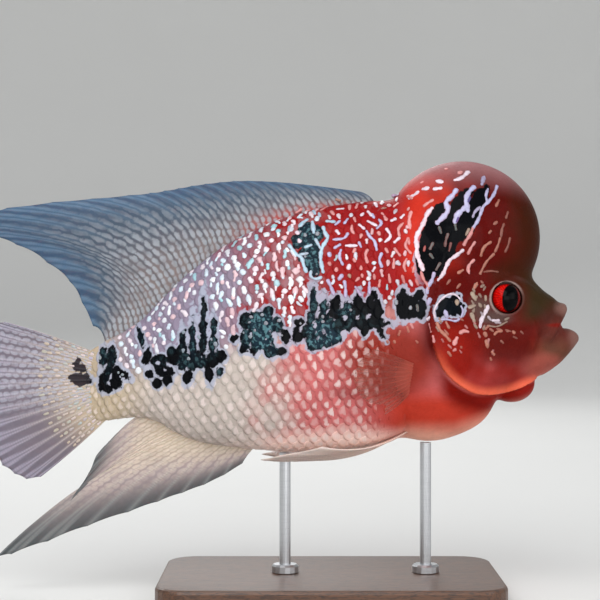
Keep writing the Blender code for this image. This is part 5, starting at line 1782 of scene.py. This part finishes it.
    def paired(
        self, kind: str, side: Side, lines: Sequence[Sequence], material: Material, tints: FinTints
    ) -> None:
        """Makes a fin of one side, given for the left and mirrored for the right.

        Args:
            kind: What its names start with.
            side: The side of the fish.
            lines: The left fin's roots, bends and tips as (x, y, z) rows.
            material: The web's material.
            tints: The web's colours.
        """
        end = side.name.lower()
        rays = [np.array(line, float) * (1, side.value, 1) for line in lines]
        build = {"spines": 1, "rows": 26, "ridge_root": 0.3, "ridge_tip": 0.1, "sways": False}
        Fin(f"{kind}_web_{end}", f"{kind}_fin_{end}", *rays, **build).build(material, tints)


@dataclass
class Stand:
    """The dark wooden base and its two steel rods."""

    def build(self) -> None:
        """Gives the stand's solids their finishes."""
        wood, steel = self.wood(), self.steel()
        for name, material, slot in (
            ("stand_base", wood, "stand_wood"),
            ("stand_rod_front", steel, "stand_steel"),
            ("stand_rod_rear", steel, "stand_steel"),
        ):
            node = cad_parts[name]
            node.data.materials.clear()
            node.data.materials.append(material)

    def wood(self) -> Material:
        """Dark stained wood with its grain along the base."""
        coat = Coat("dark_wood", Coat_Weight=0.3, Coat_Roughness=0.25)
        where = coat.place((1, 9, 9))
        grain = coat.noise(where, 42, 6, 0.6)
        pores = coat.noise(coat.place((1, 26, 26)), 60, 4, 0.7)
        rings = ((grain * 9).fraction() - 0.5) ** 2 * 3
        colour = coat.mix(rings.rise(0, 0.75), tone(92, 58, 36), tone(44, 27, 18))
        colour = coat.shade(colour, 0.8 + pores * 0.4)
        return coat.finish(Base_Color=colour, Roughness=0.38 + pores * 0.14, Normal=coat.bump(pores, 0.0001))

    def steel(self) -> Material:
        """Satin steel with fine turning marks."""
        coat = Coat("satin_steel", Metallic=1)
        turned = coat.noise(coat.place((3, 3, 60)), 60, 3)
        colour = coat.shade(coat.mix(turned, tone(178, 180, 184), tone(206, 207, 210)), 1)
        return coat.finish(Base_Color=colour, Roughness=0.24 + turned * 0.14)


@dataclass
class Studio:
    """A pale bowl of a backdrop, soft lights and the camera at the photograph's angle."""

    target: tuple[float, float, float] = (-13.35, 0, 131.2)
    distance: float = 700
    frame_width: float = 267

    def build(self) -> None:
        """Makes the backdrop, the lights and the camera."""
        self.backdrop()
        self.light("key", (-500, -1100, 1250), 1400, 19.5)
        self.light("fill", (1200, -900, 500), 1300, 8)
        self.light("back", (-300, 1100, 1000), 900, 11)
        self.light("low", (100, -1000, 60), 700, 4)
        world = bpy.data.worlds.new("studio")
        world.use_nodes = True
        world.node_tree.nodes["Background"].inputs[0].default_value = (0.9, 0.93, 1, 1)
        world.node_tree.nodes["Background"].inputs[1].default_value = 0.45
        bpy.context.scene.world = world
        bpy.context.scene.view_settings.view_transform = "Standard"
        camera = bpy.data.cameras.new("camera")
        camera.lens = camera.sensor_width * self.distance / self.frame_width
        camera.clip_start, camera.clip_end = 0.01, 20
        held = bpy.data.objects.new("camera", camera)
        bpy.context.scene.collection.objects.link(held)
        x, y, z = self.target
        held.location = (x * MM, (y - self.distance) * MM, z * MM)
        held.rotation_euler = (math.pi / 2, 0, 0)
        bpy.context.scene.camera = held

    def backdrop(self) -> None:
        """A round floor that curves up into a wall all round."""
        profile = [(0, 0), (1500, 0)]
        for turn in np.linspace(0, 90, 10)[1:]:
            angle = math.radians(turn)
            profile.append((1500 + 700 * math.sin(angle), 700 * (1 - math.cos(angle))))
        profile.append((2200, 2600))
        count = 64
        points, faces = [], []
        for turn in range(count):
            angle = 2 * math.pi * turn / count
            points += [(r * math.cos(angle), r * math.sin(angle), z) for r, z in profile]
            start, after = turn * len(profile), (turn + 1) % count * len(profile)
            faces += [(start + i, after + i, after + i + 1, start + i + 1) for i in range(len(profile) - 1)]
        floor = make_piece("studio_floor", np.array(points), faces)
        coat = Coat("studio_paper", Roughness=0.9)
        cloud = coat.noise(coat.place(), 3)
        coat.finish(Base_Color=coat.mix(cloud, tone(212, 212, 210), tone(218, 218, 216)))
        floor.data.materials.append(coat.material)

    def light(self, name: str, place: tuple[float, float, float], size: float, power: float) -> None:
        """A square soft light that looks at the fish."""
        lamp = bpy.data.lights.new(name, "AREA")
        lamp.size = size * MM
        lamp.energy = power
        held = bpy.data.objects.new(name, lamp)
        bpy.context.scene.collection.objects.link(held)
        held.location = [value * MM for value in place]
        way = Vector([t * MM for t in self.target]) - held.location
        held.rotation_euler = way.to_track_quat("-Z", "Y").to_euler()


def main() -> None:
    """Builds each part of the scene in order."""
    logging.basicConfig(level=logging.INFO, format="%(name)s: %(message)s")
    colouring = Colouring()
    skin = Skin(colouring)
    skin.build()
    skin.dress()
    paint, pearly, strokes = ScalePaint().material(), PearlPaint().material(), PearlStrokes(skin)
    for side in Side:
        scales = ScaleCoat(skin, side)
        show(scales.build(), "skin", paint)
        FlankPearls(skin, scales, strokes.places()).build(pearly)
    strokes.build(pearly)
    Eyes().build()
    FinSet(skin, pearly).build()
    Stand().build()
    Studio().build()


if __name__ == "__main__":
    main()
